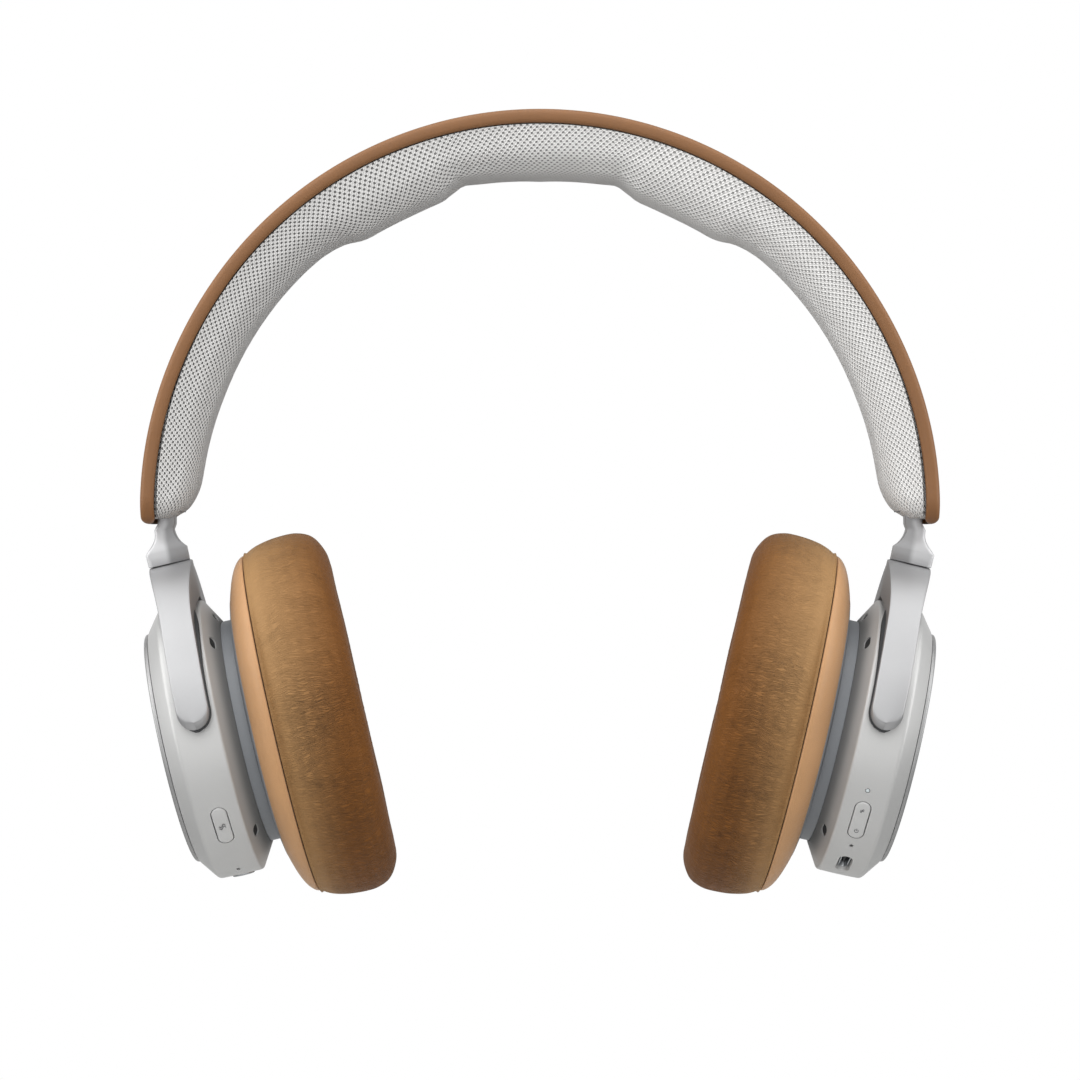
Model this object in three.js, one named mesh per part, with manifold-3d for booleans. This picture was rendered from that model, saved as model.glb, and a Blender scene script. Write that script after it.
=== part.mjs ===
// Wireless over-ear headphones, in millimetres, +Z up.
// The origin is the lowest point of the head pad in the middle of the headband, where a head carries it.
// The left cup, with the audio jack, is at -X and the right cup, with the USB-C inlet, at +X.
// The controls face -Y.
import * as THREE from 'three';
import { mergeVertices } from 'three/addons/utils/BufferGeometryUtils.js';
import Module from 'manifold-3d';

const wasm = await Module();
wasm.setup();

// ---------- driving dimensions ----------
const GAP = 0.3;                 // clearance kept between neighbouring pieces

// Headband: a half circle that carries leather outside and a knitted pad inside.
const BAND_RADIUS = 98.2;        // outer edge of the leather
const BAND_CENTRE_Z = -82.75;    // centre of the half circle
const BAND_END = 91.6;           // degrees from the top to each end
const BAND_HALF_WIDTH = 19;      // front to back, halved, at the top
const BAND_END_HALF_WIDTH = 14.5;
const BAND_LIP_RADIUS = 94.9;    // where the leather edge meets the pad
const POCKET_RADIUS = 97;        // ceiling of the pocket under the leather
const BAND_CROWN = 0.7;          // how far the leather bulges across its width
const BAND_CORNER = 7;           // rounding of the leather's end corners, seen from the side
const BAND_NARROWING = 0.8;      // share of that rounding that each edge takes
const PAD_END = 90.6;
const PAD_CORNER = 6;            // rounding of the pad's lower edges
const PAD_NARROWING = 0.6;
const PAD_RADIUS = 82.8;         // underside of the pad at the top of the head
const STRIP_INNER_RADIUS = 96.1; // spring steel and cable inside the leather's pocket
const STRIP_OUTER_RADIUS = 96.6;

// Adjustment arms: curved bars that slide in a curved channel in each end of the band.
const ARM_INNER_RADIUS = 90.3;
const ARM_OUTER_RADIUS = 95;
const ARM_HALF_WIDTH = 6;
const ARM_TOP_ANGLE = 67;        // upper end of the bar, hidden in the band
const GUIDE_TOP_ANGLE = 61.5;
const GUIDE_END_ANGLE = 90.4;
const GUIDE_WALL = 0.7;
const DETENT_INNER_RADIUS = 91.5; // leaf spring in the guide's wall that holds the chosen length
const DETENT_OUTER_RADIUS = 93.8;
const DETENT_SPAN = [78, 87.5];
const DETENT_THICKNESS = 0.25;

// Ear cup, in its own frame: +X towards the ear, +Z up, origin on the cup's axis.
const CUP_TILT = THREE.MathUtils.degToRad(13);
const CUP_CENTRE = [-86.08, 0, -141.05];
const HOUSING_RADIUS = 34.5;
const HOUSING_WALL = 1.9;
const HOUSING_OUTER_X = -4.9;    // face that carries the disc
const FLANK_START_X = -1.3;
const FLANK_END_X = 9.6;
const HOUSING_EAR_X = 13.2;      // end of the bevel on the ear side
const DISC_RADIUS = 29.1;
const DISC_THICKNESS = 0.9;
const COLLAR_RADIUS = 28;
const COLLAR_END_X = 15.4;
const DRIVER_RADIUS = 20.4;
const SCREW_CIRCLE = 26.2;       // radius at which the baffle screws stand
const SCREW_TURNS = [-90, 90];
const SCREW_SHANK = 0.7;
const SCREW_HEAD = 1.2;
const SCREW_SEAT_X = 14.4;

// Ear cushion: an oval ring.
const CUSHION_HALF_HEIGHT = 46.1;
const CUSHION_HALF_DEPTH = 39.4;
const EAR_HALF_HEIGHT = 26.5;
const EAR_HALF_DEPTH = 19.5;
const SEAM_X = 22.4;
const CUSHION_FACE_X = 43.4;
const CARRIER_BACK_X = 15.7;
const FOAM_BACK_X = 17.4;
const OVAL_STEPS = 30;

// Yoke: an arch over the housing, turning on a pin under the arm's foot.
const YOKE_X = 4.4;              // plane of the arch
const YOKE_INNER_RADIUS = 36.05;
const YOKE_TINE_RADIUS = 38.6;
const YOKE_TOP_Z = 44.7;
const YOKE_TINE_WIDTH = 8;
const YOKE_CROWN_WIDTH = 11.5;
const YOKE_SPREAD = 60;          // degrees from the top where the tines reach their final size
const PIVOT_Z = 9.15;
const PIVOT_BOSS_RADIUS = 4.1;
const PIVOT_PIN_RADIUS = 1.6;
const PIVOT_PIN_INNER_Y = 30.4;
const PIVOT_PIN_OUTER_Y = 36.5;
const FOOT_BOTTOM_Z = 45.1;      // underside of the arm's foot
const FOOT_TOP_Z = 48.9;
const SWIVEL_PIN_RADIUS = 2.4;

// Controls on the housing's flank, as degrees below the front.
const LEFT_BUTTON_ANGLE = 37;
const RIGHT_BUTTON_ANGLE = 33.5;
const LEFT_MIC_ANGLE = 70;
const RIGHT_MIC_ANGLE = 48;
const RIGHT_LIGHT_ANGLE = 19;
const USB_ANGLE = 64;
const VENT_ANGLE = 49;             // above and below the front, and the same behind
const VENT_LENGTH = 3.8;
const VENT_WIDTH = 2.3;
const VENT_START = [7.6, 0, 28.6];
const VENT_SLOPE = 56.7;          // degrees from the radius to the hole's axis
const VENT_DEPTH = 8;
const BUTTON_LENGTH = 10.8;
const BUTTON_WIDTH = 3.8;
const BUTTON_TOP_RADIUS = 34.65;
const BUTTON_BACK_RADIUS = 32.95;
const USB_LENGTH = 9;
const USB_HEIGHT = 3.1;

// ---------- materials ----------
const finish = (color, roughness, metalness = 0) =>
  new THREE.MeshStandardMaterial({ color, roughness, metalness });
const tanLeather = finish(0xa9744a, 0.55);
const lambskin = finish(0x9c6f45, 0.5);
const meshFabric = finish(0xb9b8b6, 0.9);
const satinSilver = finish(0xc4c4c4, 0.35, 0.9);
const softSilver = finish(0xcfcfce, 0.4, 0.7);
const discSilver = finish(0xc8c8c8, 0.25, 0.9);
const blueGrey = finish(0x5d656d, 0.6);
const steel = finish(0x9a9da0, 0.3, 1);
const darkPlastic = finish(0x2c2d30, 0.7);
const circuitGreen = finish(0x1f5a3a, 0.6);
const cellWrap = finish(0x3a4a6a, 0.5);
const magnetGrey = finish(0x55585c, 0.4, 0.8);
const coneGrey = finish(0x3b3b3d, 0.5);
const blackCloth = finish(0x222224, 0.95);
const brass = finish(0xb0905a, 0.35, 1);
const lightPipe = finish(0xdfe8ea, 0.3);

// ---------- geometry helpers ----------
const radians = THREE.MathUtils.degToRad;
const smooth = (t) => THREE.MathUtils.smoothstep(t, 0, 1);
const range = (count) => Array.from({ length: count }, (_, index) => index);
const between = (from, to, steps) => range(steps + 1).map((i) => from + ((to - from) * i) / steps);

// Value of a curve that passes smoothly through [position, value] stations.
function through(stations, position) {
  const next = stations.findIndex(([at]) => at >= position);
  if (next <= 0) {
    return stations.at(next).at(1);
  }
  const [from, low] = stations[next - 1];
  const [to, high] = stations[next];
  return low + (high - low) * smooth((position - from) / (to - from));
}

function signedVolume(geometry) {
  const { position } = geometry.attributes;
  const corner = range(3).map(() => new THREE.Vector3());
  let volume = 0;
  for (let i = 0; i < geometry.index.count; i += 3) {
    corner.forEach((point, k) => point.fromBufferAttribute(position, geometry.index.getX(i + k)));
    volume += corner[0].dot(corner[1].cross(corner[2])) / 6;
  }
  return volume;
}

// Joins rings of points with quads. Rings either close on the first one or are capped.
function skin(rings, loops, cap = []) {
  const size = rings[0].length;
  const faces = [];
  const last = loops ? rings.length : rings.length - 1;
  for (let i = 0; i < last; i += 1) {
    const here = i * size;
    const there = ((i + 1) % rings.length) * size;
    for (let j = 0; j < size; j += 1) {
      const k = (j + 1) % size;
      faces.push(here + j, here + k, there + k, here + j, there + k, there + j);
    }
  }
  const end = (rings.length - 1) * size;
  for (const [a, b, c] of cap) {
    faces.push(a, c, b, end + a, end + b, end + c);
  }
  const geometry = new THREE.BufferGeometry();
  geometry.setAttribute('position', new THREE.Float32BufferAttribute(rings.flat(2), 3));
  geometry.setIndex(faces);
  if (signedVolume(geometry) < 0) {
    geometry.setIndex(faces.toReversed());
  }
  return geometry;
}

// Sweeps an outline along stations. place turns an outline point at a station into [x, y, z].
function sweep(stations, outline, place) {
  const rings = stations.map((at) => outline(at).map((point) => place(at, point)));
  const flat = outline(stations[0]).map(([u, v]) => new THREE.Vector2(u, v));
  const cap = THREE.ShapeUtils.triangulateShape(flat, []).map((face) => face.sort((a, b) => a - b));
  return skin(rings, false, cap);
}

// Angles from one end of the band to the other, closer together where its end corners are rounded.
function bandStations(end, steps) {
  const corner = [2.4, 1.1, 0.3, 0].map((left) => end - left);
  const mirrored = corner.map((angle) => -angle).toReversed();
  return [...mirrored, ...between(-end + 4.2, end - 4.2, steps), ...corner];
}

// Sweeps a [front-to-back, radius] outline along the headband's arc, through the given angles.
function alongBand(angles, outline) {
  const place = (angle, [y, radius]) => [
    radius * Math.sin(radians(angle)),
    y,
    BAND_CENTRE_Z + radius * Math.cos(radians(angle)),
  ];
  return sweep(angles, outline, place);
}

// Turns a closed [x, radius] profile about the cup's axis.
function revolve(profile, segments = 24) {
  const points = profile.map(([x, radius]) => new THREE.Vector2(radius, x));
  return new THREE.LatheGeometry(points, segments).rotateZ(-Math.PI / 2);
}

function disc(fromX, toX, radius) {
  return revolve([[fromX, 0], [fromX, radius], [toX, radius], [toX, 0]]);
}

function washer(fromX, toX, inner, outer, segments = 24) {
  const corners = [[fromX, inner], [fromX, outer], [toX, outer], [toX, inner], [fromX, inner]];
  return revolve(corners, segments);
}

// A round bar between two points.
function rod(from, to, radius, segments = 12) {
  const start = new THREE.Vector3(...from);
  const along = new THREE.Vector3(...to).sub(start);
  const turn = new THREE.Quaternion().setFromUnitVectors(
    new THREE.Vector3(0, 1, 0),
    along.clone().normalize(),
  );
  const bar = new THREE.CylinderGeometry(radius, radius, along.length(), segments);
  return bar.applyQuaternion(turn).translate(...start.addScaledVector(along, 0.5));
}

function block(size, centre) {
  return new THREE.BoxGeometry(...size).translate(...centre);
}

// A slot-shaped outline, length along Y and width along X.
function pill(length, width, steps = 6) {
  const shape = new THREE.Shape();
  const half = (length - width) / 2;
  shape.absarc(0, half, width / 2, 0, Math.PI, false);
  shape.absarc(0, -half, width / 2, Math.PI, 2 * Math.PI, false);
  return new THREE.Shape(shape.getPoints(steps));
}

// Extrudes a shape along +Z from one height to another.
function extrude(shape, from, to) {
  const settings = { depth: to - from, bevelEnabled: false };
  return new THREE.ExtrudeGeometry(shape, settings).translate(0, 0, from);
}

// Stands a geometry on the flank: its +Z becomes the direction that points out of the cup's axis.
function onFlank(geometry, angle, front, x = YOKE_X) {
  const turn = radians(angle);
  const across = new THREE.Vector3(front, 0, 0);
  const along = new THREE.Vector3(0, -front * Math.sin(turn), -Math.cos(turn));
  const outward = new THREE.Vector3(0, front * Math.cos(turn), -Math.sin(turn));
  const basis = new THREE.Matrix4().makeBasis(across, along, outward);
  return geometry.applyMatrix4(basis).translate(x, 0, 0);
}

function toManifold(geometry) {
  const bare = geometry.clone();
  bare.deleteAttribute('normal');
  bare.deleteAttribute('uv');
  const { index, attributes } = mergeVertices(bare, 1e-4);
  const faces = [];
  for (let i = 0; i < index.count; i += 3) {
    const face = range(3).map((k) => index.getX(i + k));
    if (new Set(face).size === 3) {
      faces.push(...face);
    }
  }
  const mesh = new wasm.Mesh({
    numProp: 3,
    vertProperties: new Float32Array(attributes.position.array),
    triVerts: new Uint32Array(faces),
  });
  return new wasm.Manifold(mesh);
}

function toGeometry(solid) {
  const mesh = solid.getMesh();
  const geometry = new THREE.BufferGeometry();
  geometry.setAttribute('position', new THREE.BufferAttribute(mesh.vertProperties, 3));
  geometry.setIndex(new THREE.BufferAttribute(mesh.triVerts, 1));
  return geometry;
}

const cut = (body, ...tools) =>
  toGeometry(tools.reduce((solid, tool) => solid.subtract(toManifold(tool)), toManifold(body)));
const join = (body, ...others) =>
  toGeometry(others.reduce((solid, other) => solid.add(toManifold(other)), toManifold(body)));
const keepInside = (body, limit) => toGeometry(toManifold(body).intersect(toManifold(limit)));

function piece(name, geometry, material) {
  const mesh = new THREE.Mesh(geometry, material);
  mesh.name = name;
  return mesh;
}

// ---------- headband ----------
function bandHalfWidth(angle) {
  const share = smooth(Math.abs(angle) / 90);
  return BAND_HALF_WIDTH + (BAND_END_HALF_WIDTH - BAND_HALF_WIDTH) * share;
}

// How much a rounded corner narrows the band near an end.
function endInset(angle, end, radius, corner) {
  const left = radians(end - Math.abs(angle)) * radius;
  const into = Math.max(corner - left, 0);
  return corner - Math.sqrt(corner ** 2 - into ** 2);
}

function bandCover() {
  const outline = (angle) => {
    const rounding = endInset(angle, BAND_END, BAND_RADIUS, BAND_CORNER) * BAND_NARROWING;
    const half = bandHalfWidth(angle) - rounding;
    const pocket = half - 2.4;
    return [
      [-half, BAND_LIP_RADIUS], [-half, BAND_RADIUS - 0.9], [-half + 0.9, BAND_RADIUS],
      [-half / 2, BAND_RADIUS + BAND_CROWN * 0.7], [0, BAND_RADIUS + BAND_CROWN],
      [half / 2, BAND_RADIUS + BAND_CROWN * 0.7], [half - 0.9, BAND_RADIUS],
      [half, BAND_RADIUS - 0.9], [half, BAND_LIP_RADIUS], [pocket, BAND_LIP_RADIUS],
      [pocket, POCKET_RADIUS], [-pocket, POCKET_RADIUS], [-pocket, BAND_LIP_RADIUS],
    ];
  };
  return alongBand(bandStations(BAND_END, 34), outline);
}

// A flat strip inside the band, at one place across its width.
function bandStrip(reach, innerRadius, outerRadius, fromY, toY, steps = 26) {
  const corners = [[fromY, innerRadius], [fromY, outerRadius], [toY, outerRadius], [toY, innerRadius]];
  return alongBand(between(-reach, reach, steps), () => corners);
}

// Underside of the pad: a thin stretch over the crown of the head between two thick ones.
function padInnerRadius(angle) {
  const stations = [
    [0, PAD_RADIUS], [13, PAD_RADIUS + 0.9], [18, PAD_RADIUS - 1.3], [26, PAD_RADIUS - 1.9],
    [35, PAD_RADIUS - 0.4], [42, PAD_RADIUS + 1.4], [68, PAD_RADIUS + 1.6], [82, PAD_RADIUS + 2.9],
    [PAD_END, PAD_RADIUS + 4.6],
  ];
  return through(stations, Math.min(Math.abs(angle), PAD_END));
}

function headPad() {
  const top = BAND_LIP_RADIUS - GAP;
  const outline = (angle) => {
    const rounding = endInset(angle, PAD_END, BAND_RADIUS, PAD_CORNER) * PAD_NARROWING;
    const half = bandHalfWidth(angle) - 2 * GAP - rounding;
    const low = padInnerRadius(angle);
    const turn = PAD_CORNER * 0.3;
    return [
      [-half, top], [-half, low + PAD_CORNER], [-half + turn, low + turn], [-half + PAD_CORNER, low + 0.3],
      [-half / 2, low], [half / 2, low],
      [half - PAD_CORNER, low + 0.3], [half - turn, low + turn], [half, low + PAD_CORNER], [half, top],
    ];
  };
  const pad = alongBand(bandStations(PAD_END, 37), outline);
  return cut(pad, guidePocket(-1), guidePocket(1));
}

// Space that the pad leaves for a slider guide.
function guidePocket(side) {
  const half = ARM_HALF_WIDTH + 2 * GAP + 2 * GUIDE_WALL;
  const low = ARM_INNER_RADIUS - 2 * GAP - GUIDE_WALL;
  const corners = [[-half, low], [-half, POCKET_RADIUS], [half, POCKET_RADIUS], [half, low]];
  const angles = between(side * (GUIDE_TOP_ANGLE - 0.4), side * (PAD_END + 2), 8);
  return alongBand(angles, () => corners);
}

// A box-section channel that guides the arm.
function sliderGuide() {
  const box = (margin, top) => {
    const half = ARM_HALF_WIDTH + GAP + margin;
    const low = ARM_INNER_RADIUS - GAP - margin;
    return [[-half, low], [-half, top], [half, top], [half, low]];
  };
  const body = alongBand(between(-GUIDE_TOP_ANGLE, -GUIDE_END_ANGLE, 8), () =>
    box(GUIDE_WALL + 0.5 * GAP, POCKET_RADIUS - 1.1));
  const channel = alongBand(between(-GUIDE_TOP_ANGLE + 1, -GUIDE_END_ANGLE - 1, 10), () =>
    box(0, ARM_OUTER_RADIUS + GAP));
  return cut(body, channel, detentLeaf(GAP, 0.5));
}

// The detent's leaf, or with a margin the slot for it in the guide's wall.
function detentLeaf(margin, marginAngle) {
  const [from, to] = DETENT_SPAN;
  const low = DETENT_INNER_RADIUS - margin;
  const high = DETENT_OUTER_RADIUS + margin;
  const fromY = ARM_HALF_WIDTH + GAP - margin;
  const toY = ARM_HALF_WIDTH + GAP + DETENT_THICKNESS + margin;
  const corners = [[fromY, low], [fromY, high], [toY, high], [toY, low]];
  return alongBand(between(-from + marginAngle, -to - marginAngle, 3), () => corners);
}

// ---------- adjustment arm ----------
// The arm's centre line and lean, from the hidden end in the band down to its foot.
function armStations() {
  const middle = (ARM_INNER_RADIUS + ARM_OUTER_RADIUS) / 2;
  const thickness = ARM_OUTER_RADIUS - ARM_INNER_RADIUS;
  const curved = between(ARM_TOP_ANGLE, 90, 10).map((angle) => ({
    x: -middle * Math.sin(radians(angle)),
    z: BAND_CENTRE_Z + middle * Math.cos(radians(angle)),
    lean: radians(angle - 90),
    thickness,
    half: ARM_HALF_WIDTH,
  }));
  const foot = (cupZ, across, half) => {
    const [x, , z] = fromCup([YOKE_X, 0, cupZ]);
    return { x, z, lean: CUP_TILT, thickness: across, half };
  };
  const straight = { x: -middle, z: BAND_CENTRE_Z - 4.6, lean: 0, thickness, half: ARM_HALF_WIDTH };
  const neck = { x: -middle, z: BAND_CENTRE_Z - 6.6, lean: CUP_TILT * 0.4, thickness: 6, half: 6.4 };
  return [
    ...curved,
    straight,
    neck,
    foot(FOOT_TOP_Z, YOKE_CROWN_WIDTH - 0.4, 7.4),
    foot(FOOT_BOTTOM_Z, YOKE_CROWN_WIDTH, 7.8),
  ];
}

function fromCup([x, y, z]) {
  const [centreX, centreY, centreZ] = CUP_CENTRE;
  return [
    centreX + x * Math.cos(CUP_TILT) - z * Math.sin(CUP_TILT),
    centreY + y,
    centreZ + x * Math.sin(CUP_TILT) + z * Math.cos(CUP_TILT),
  ];
}

function adjustmentArm() {
  const bevel = 0.8;
  const outline = ({ thickness, half }) => {
    const deep = thickness / 2;
    return [
      [-deep, -half + bevel], [-deep + bevel, -half], [deep - bevel, -half], [deep, -half + bevel],
      [deep, half - bevel], [deep - bevel, half], [-deep + bevel, half], [-deep, half - bevel],
    ];
  };
  const place = ({ x, z, lean }, [u, y]) => [x + u * Math.cos(lean), y, z + u * Math.sin(lean)];
  const arm = sweep(armStations(), outline, place);
  const mouth = fromCup([YOKE_X, 0, FOOT_BOTTOM_Z - 1]);
  const end = fromCup([YOKE_X, 0, FOOT_TOP_Z - 0.8]);
  return cut(arm, rod(mouth, end, SWIVEL_PIN_RADIUS + GAP));
}

// ---------- yoke ----------
function yokeOuterRadius(angle) {
  const rise = YOKE_TOP_Z + 0.6 - YOKE_TINE_RADIUS;
  const bulge = YOKE_TINE_RADIUS + rise * smooth(1 - Math.abs(angle) / YOKE_SPREAD);
  return Math.min(YOKE_TOP_Z / Math.cos(radians(angle)), bulge);
}

function pivotY(front) {
  return { inner: front * PIVOT_PIN_INNER_Y, outer: front * PIVOT_PIN_OUTER_Y };
}

function yoke() {
  const reach = 76.5;
  const outline = (angle) => {
    const widen = smooth(1 - Math.abs(angle) / YOKE_SPREAD);
    const half = (YOKE_TINE_WIDTH + (YOKE_CROWN_WIDTH - YOKE_TINE_WIDTH) * widen) / 2;
    const high = yokeOuterRadius(angle);
    const bevel = 0.7;
    return [
      [-half, YOKE_INNER_RADIUS], [-half, high - bevel], [-half + bevel, high],
      [half - bevel, high], [half, high - bevel], [half, YOKE_INNER_RADIUS],
    ];
  };
  const place = (angle, [u, radius]) => [
    YOKE_X + u,
    radius * Math.sin(radians(angle)),
    radius * Math.cos(radians(angle)),
  ];
  const arch = sweep(between(-reach, reach, 22), outline, place);
  const bossInner = Math.sqrt(YOKE_INNER_RADIUS ** 2 - PIVOT_Z ** 2) - 0.1;
  const bossOuter = Math.sqrt(YOKE_TINE_RADIUS ** 2 - PIVOT_Z ** 2) + 0.05;
  const bosses = [-1, 1].map((front) =>
    rod([YOKE_X, front * bossInner, PIVOT_Z], [YOKE_X, front * bossOuter, PIVOT_Z], PIVOT_BOSS_RADIUS, 20));
  const pinHoles = [-1, 1].map((front) =>
    rod(
      [YOKE_X, front * (bossInner - 2), PIVOT_Z],
      [YOKE_X, front * (PIVOT_PIN_OUTER_Y + GAP), PIVOT_Z],
      PIVOT_PIN_RADIUS + GAP,
    ));
  const swivelHole = rod([YOKE_X, 0, 38], [YOKE_X, 0, YOKE_TOP_Z + 2], SWIVEL_PIN_RADIUS + GAP);
  const washerSeat = rod([YOKE_X, 0, 43.6], [YOKE_X, 0, YOKE_TOP_Z + 2], 5.2, 20);
  return cut(join(arch, ...bosses), ...pinHoles, swivelHole, washerSeat);
}

function pivotPin(front) {
  const { inner, outer } = pivotY(front);
  return rod([YOKE_X, inner, PIVOT_Z], [YOKE_X, outer, PIVOT_Z], PIVOT_PIN_RADIUS);
}

function swivelPin() {
  return rod([YOKE_X, 0, 38.4], [YOKE_X, 0, FOOT_TOP_Z - 1.2], SWIVEL_PIN_RADIUS);
}

function swivelWasher() {
  const ring = rod([YOKE_X, 0, 43.9], [YOKE_X, 0, YOKE_TOP_Z + 0.05], 4.9, 20);
  const hole = rod([YOKE_X, 0, 43], [YOKE_X, 0, YOKE_TOP_Z + 1], SWIVEL_PIN_RADIUS + GAP);
  return cut(ring, hole);
}

// ---------- ear cup ----------
// A housing turned in one piece: bevel, flank, and a second bevel towards the ear.
function housing(side) {
  const inner = HOUSING_RADIUS - HOUSING_WALL;
  const profile = [
    [HOUSING_OUTER_X, 28.2], [HOUSING_OUTER_X, 29.6], [FLANK_START_X, HOUSING_RADIUS - 0.1],
    [FLANK_END_X - 0.7, HOUSING_RADIUS], [FLANK_END_X + 0.2, HOUSING_RADIUS - 0.6],
    [HOUSING_EAR_X, COLLAR_RADIUS + 0.4], [HOUSING_EAR_X, 24.8], [HOUSING_EAR_X - 0.9, 24.8],
    [HOUSING_EAR_X - 0.9, COLLAR_RADIUS - 0.6],
    [FLANK_END_X - 0.4, inner], [FLANK_START_X + 0.3, inner],
    [HOUSING_OUTER_X + 1.2, 28.2], [HOUSING_OUTER_X, 28.2],
  ];
  const threads = SCREW_TURNS.map((turn) => screwSpace(SCREW_SHANK + GAP, 10, 16, turn));
  return cut(revolve(profile, 36), ...pivotHoles(), ...ventHoles(), ...threads, ...side.openings());
}

function pivotHoles() {
  return [-1, 1].map((front) =>
    rod([YOKE_X, front * 28, PIVOT_Z], [YOKE_X, front * 40, PIVOT_Z], PIVOT_PIN_RADIUS + GAP));
}

// Short slots through the bevel on the ear side, two in front and two behind.
function ventHoles() {
  const directions = [VENT_ANGLE, -VENT_ANGLE, 180 - VENT_ANGLE, 180 + VENT_ANGLE];
  return directions.map((angle) => {
    const drill = extrude(pill(VENT_LENGTH, VENT_WIDTH), 0, VENT_DEPTH);
    drill.rotateY(radians(VENT_SLOPE)).translate(...VENT_START);
    return drill.rotateX(radians(90 + angle));
  });
}

const controlSlot = (angle, front) =>
  onFlank(extrude(pill(BUTTON_LENGTH + 2 * GAP, BUTTON_WIDTH + 2 * GAP), 30, 37), angle, front);
const drilledHole = (angle, front, radius) =>
  onFlank(rod([0, 0, 30], [0, 0, 37], radius, 8), angle, front);

// A pill-shaped button whose top follows the flank.
function pressButton(angle, front) {
  const body = onFlank(extrude(pill(BUTTON_LENGTH, BUTTON_WIDTH), 30, 37), angle, front);
  return keepInside(body, washer(-4, 14, BUTTON_BACK_RADIUS, BUTTON_TOP_RADIUS, 36));
}

function buttonSwitch(angle, front) {
  const body = extrude(pill(6, 3.4), 29.6, 31.9);
  return onFlank(body, angle, front);
}

function microphone(angle, front) {
  return onFlank(rod([0, 0, 29.6], [0, 0, 32.1], 1.7, 16), angle, front);
}

// The outer cap, which is also the touch surface.
function touchDisc() {
  const back = HOUSING_OUTER_X - GAP;
  const face = back - DISC_THICKNESS;
  return revolve([
    [face, 0], [face, DISC_RADIUS - 0.5], [face + 0.4, DISC_RADIUS], [back, DISC_RADIUS], [back, 0],
  ], 36);
}

function driverBasket() {
  return revolve([
    [9.1, 0], [9.1, 12.2], [12.2, DRIVER_RADIUS - 1.8], [12.2, DRIVER_RADIUS], [13.2, DRIVER_RADIUS],
    [13.2, DRIVER_RADIUS - 2.6], [10.1, 11.4], [10.1, 0],
  ]);
}

function driverDiaphragm() {
  return revolve([
    [13.6, 0], [13.3, 8], [12.4, 11.6], [13.5, 15], [13.5, 17.4], [14, 17.4], [14, 15],
    [12.9, 11.6], [13.8, 8], [14.1, 0],
  ]);
}

// The blue-grey collar: the plate that holds the driver, and the ring that the cushion clips to.
function baffle() {
  const ring = revolve([
    [HOUSING_EAR_X + GAP, DRIVER_RADIUS + 0.2], [HOUSING_EAR_X + GAP, COLLAR_RADIUS],
    [COLLAR_END_X, COLLAR_RADIUS], [COLLAR_END_X, 24.5], [COLLAR_END_X - 0.5, 24.5],
    [COLLAR_END_X - 0.5, DRIVER_RADIUS + 0.2], [HOUSING_EAR_X + GAP, DRIVER_RADIUS + 0.2],
  ], 28);
  const shanks = SCREW_TURNS.map((turn) => screwSpace(SCREW_SHANK + GAP, 10, 16, turn));
  const heads = SCREW_TURNS.map((turn) => screwSpace(SCREW_HEAD + GAP, SCREW_SEAT_X - GAP, 16, turn));
  return cut(ring, ...shanks, ...heads);
}

function screwSpace(radius, fromX, toX, turn) {
  return rod([fromX, 0, SCREW_CIRCLE], [toX, 0, SCREW_CIRCLE], radius, 8).rotateX(radians(turn));
}

// A screw that holds the baffle to the housing, from the ear side.
function baffleScrew(turn) {
  const profile = [
    [12.4, 0], [12.4, SCREW_SHANK], [SCREW_SEAT_X, SCREW_SHANK], [SCREW_SEAT_X, SCREW_HEAD],
    [15.2, SCREW_HEAD], [15.2, 0],
  ];
  return revolve(profile, 8).translate(0, 0, SCREW_CIRCLE).rotateX(radians(turn));
}

// ---------- ear cushion ----------
// Point on an oval about the cup's axis.
function ovalPoint(step, x, halfHeight, halfDepth) {
  const turn = (2 * Math.PI * step) / OVAL_STEPS;
  return [x, halfDepth * Math.sin(turn), halfHeight * Math.cos(turn)];
}

// A ring whose section is a list of [x, half height, half depth].
function ovalRing(section) {
  const rings = range(OVAL_STEPS).map((step) =>
    section.map(([x, halfHeight, halfDepth]) => ovalPoint(step, x, halfHeight, halfDepth)));
  return skin(rings, true);
}

// A moulded ring with a dished back under the leather skirt.
function cushionCarrier() {
  const top = SEAM_X - 0.2;
  const start = COLLAR_RADIUS - 0.1;
  return ovalRing([
    [CARRIER_BACK_X, start, start], [16.6, 33.2, 31.4], [18.6, 39.6, 36.6], [20.4, 42.4, 38.4],
    [top, 43.3, 39], [top, EAR_HALF_HEIGHT, EAR_HALF_DEPTH],
    [FOAM_BACK_X, EAR_HALF_HEIGHT, EAR_HALF_DEPTH], [FOAM_BACK_X, 27.6, 27.6],
    [CARRIER_BACK_X, 27.6, 27.6],
  ]);
}

function earCushion() {
  const outer = (x, inset) => [x, CUSHION_HALF_HEIGHT - inset, CUSHION_HALF_DEPTH - inset];
  const inner = (x, inset) => [x, EAR_HALF_HEIGHT + inset, EAR_HALF_DEPTH + inset];
  return ovalRing([
    outer(SEAM_X + 0.1, 3.2), outer(24.6, 1.3), outer(29, 0.1), outer(34, 0.1), outer(38, 1.3),
    outer(41, 4), outer(CUSHION_FACE_X, 9.6),
    inner(CUSHION_FACE_X, 4.5), inner(41.6, 1), inner(38, 0), inner(SEAM_X + 0.1, 0),
  ]);
}

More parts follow.
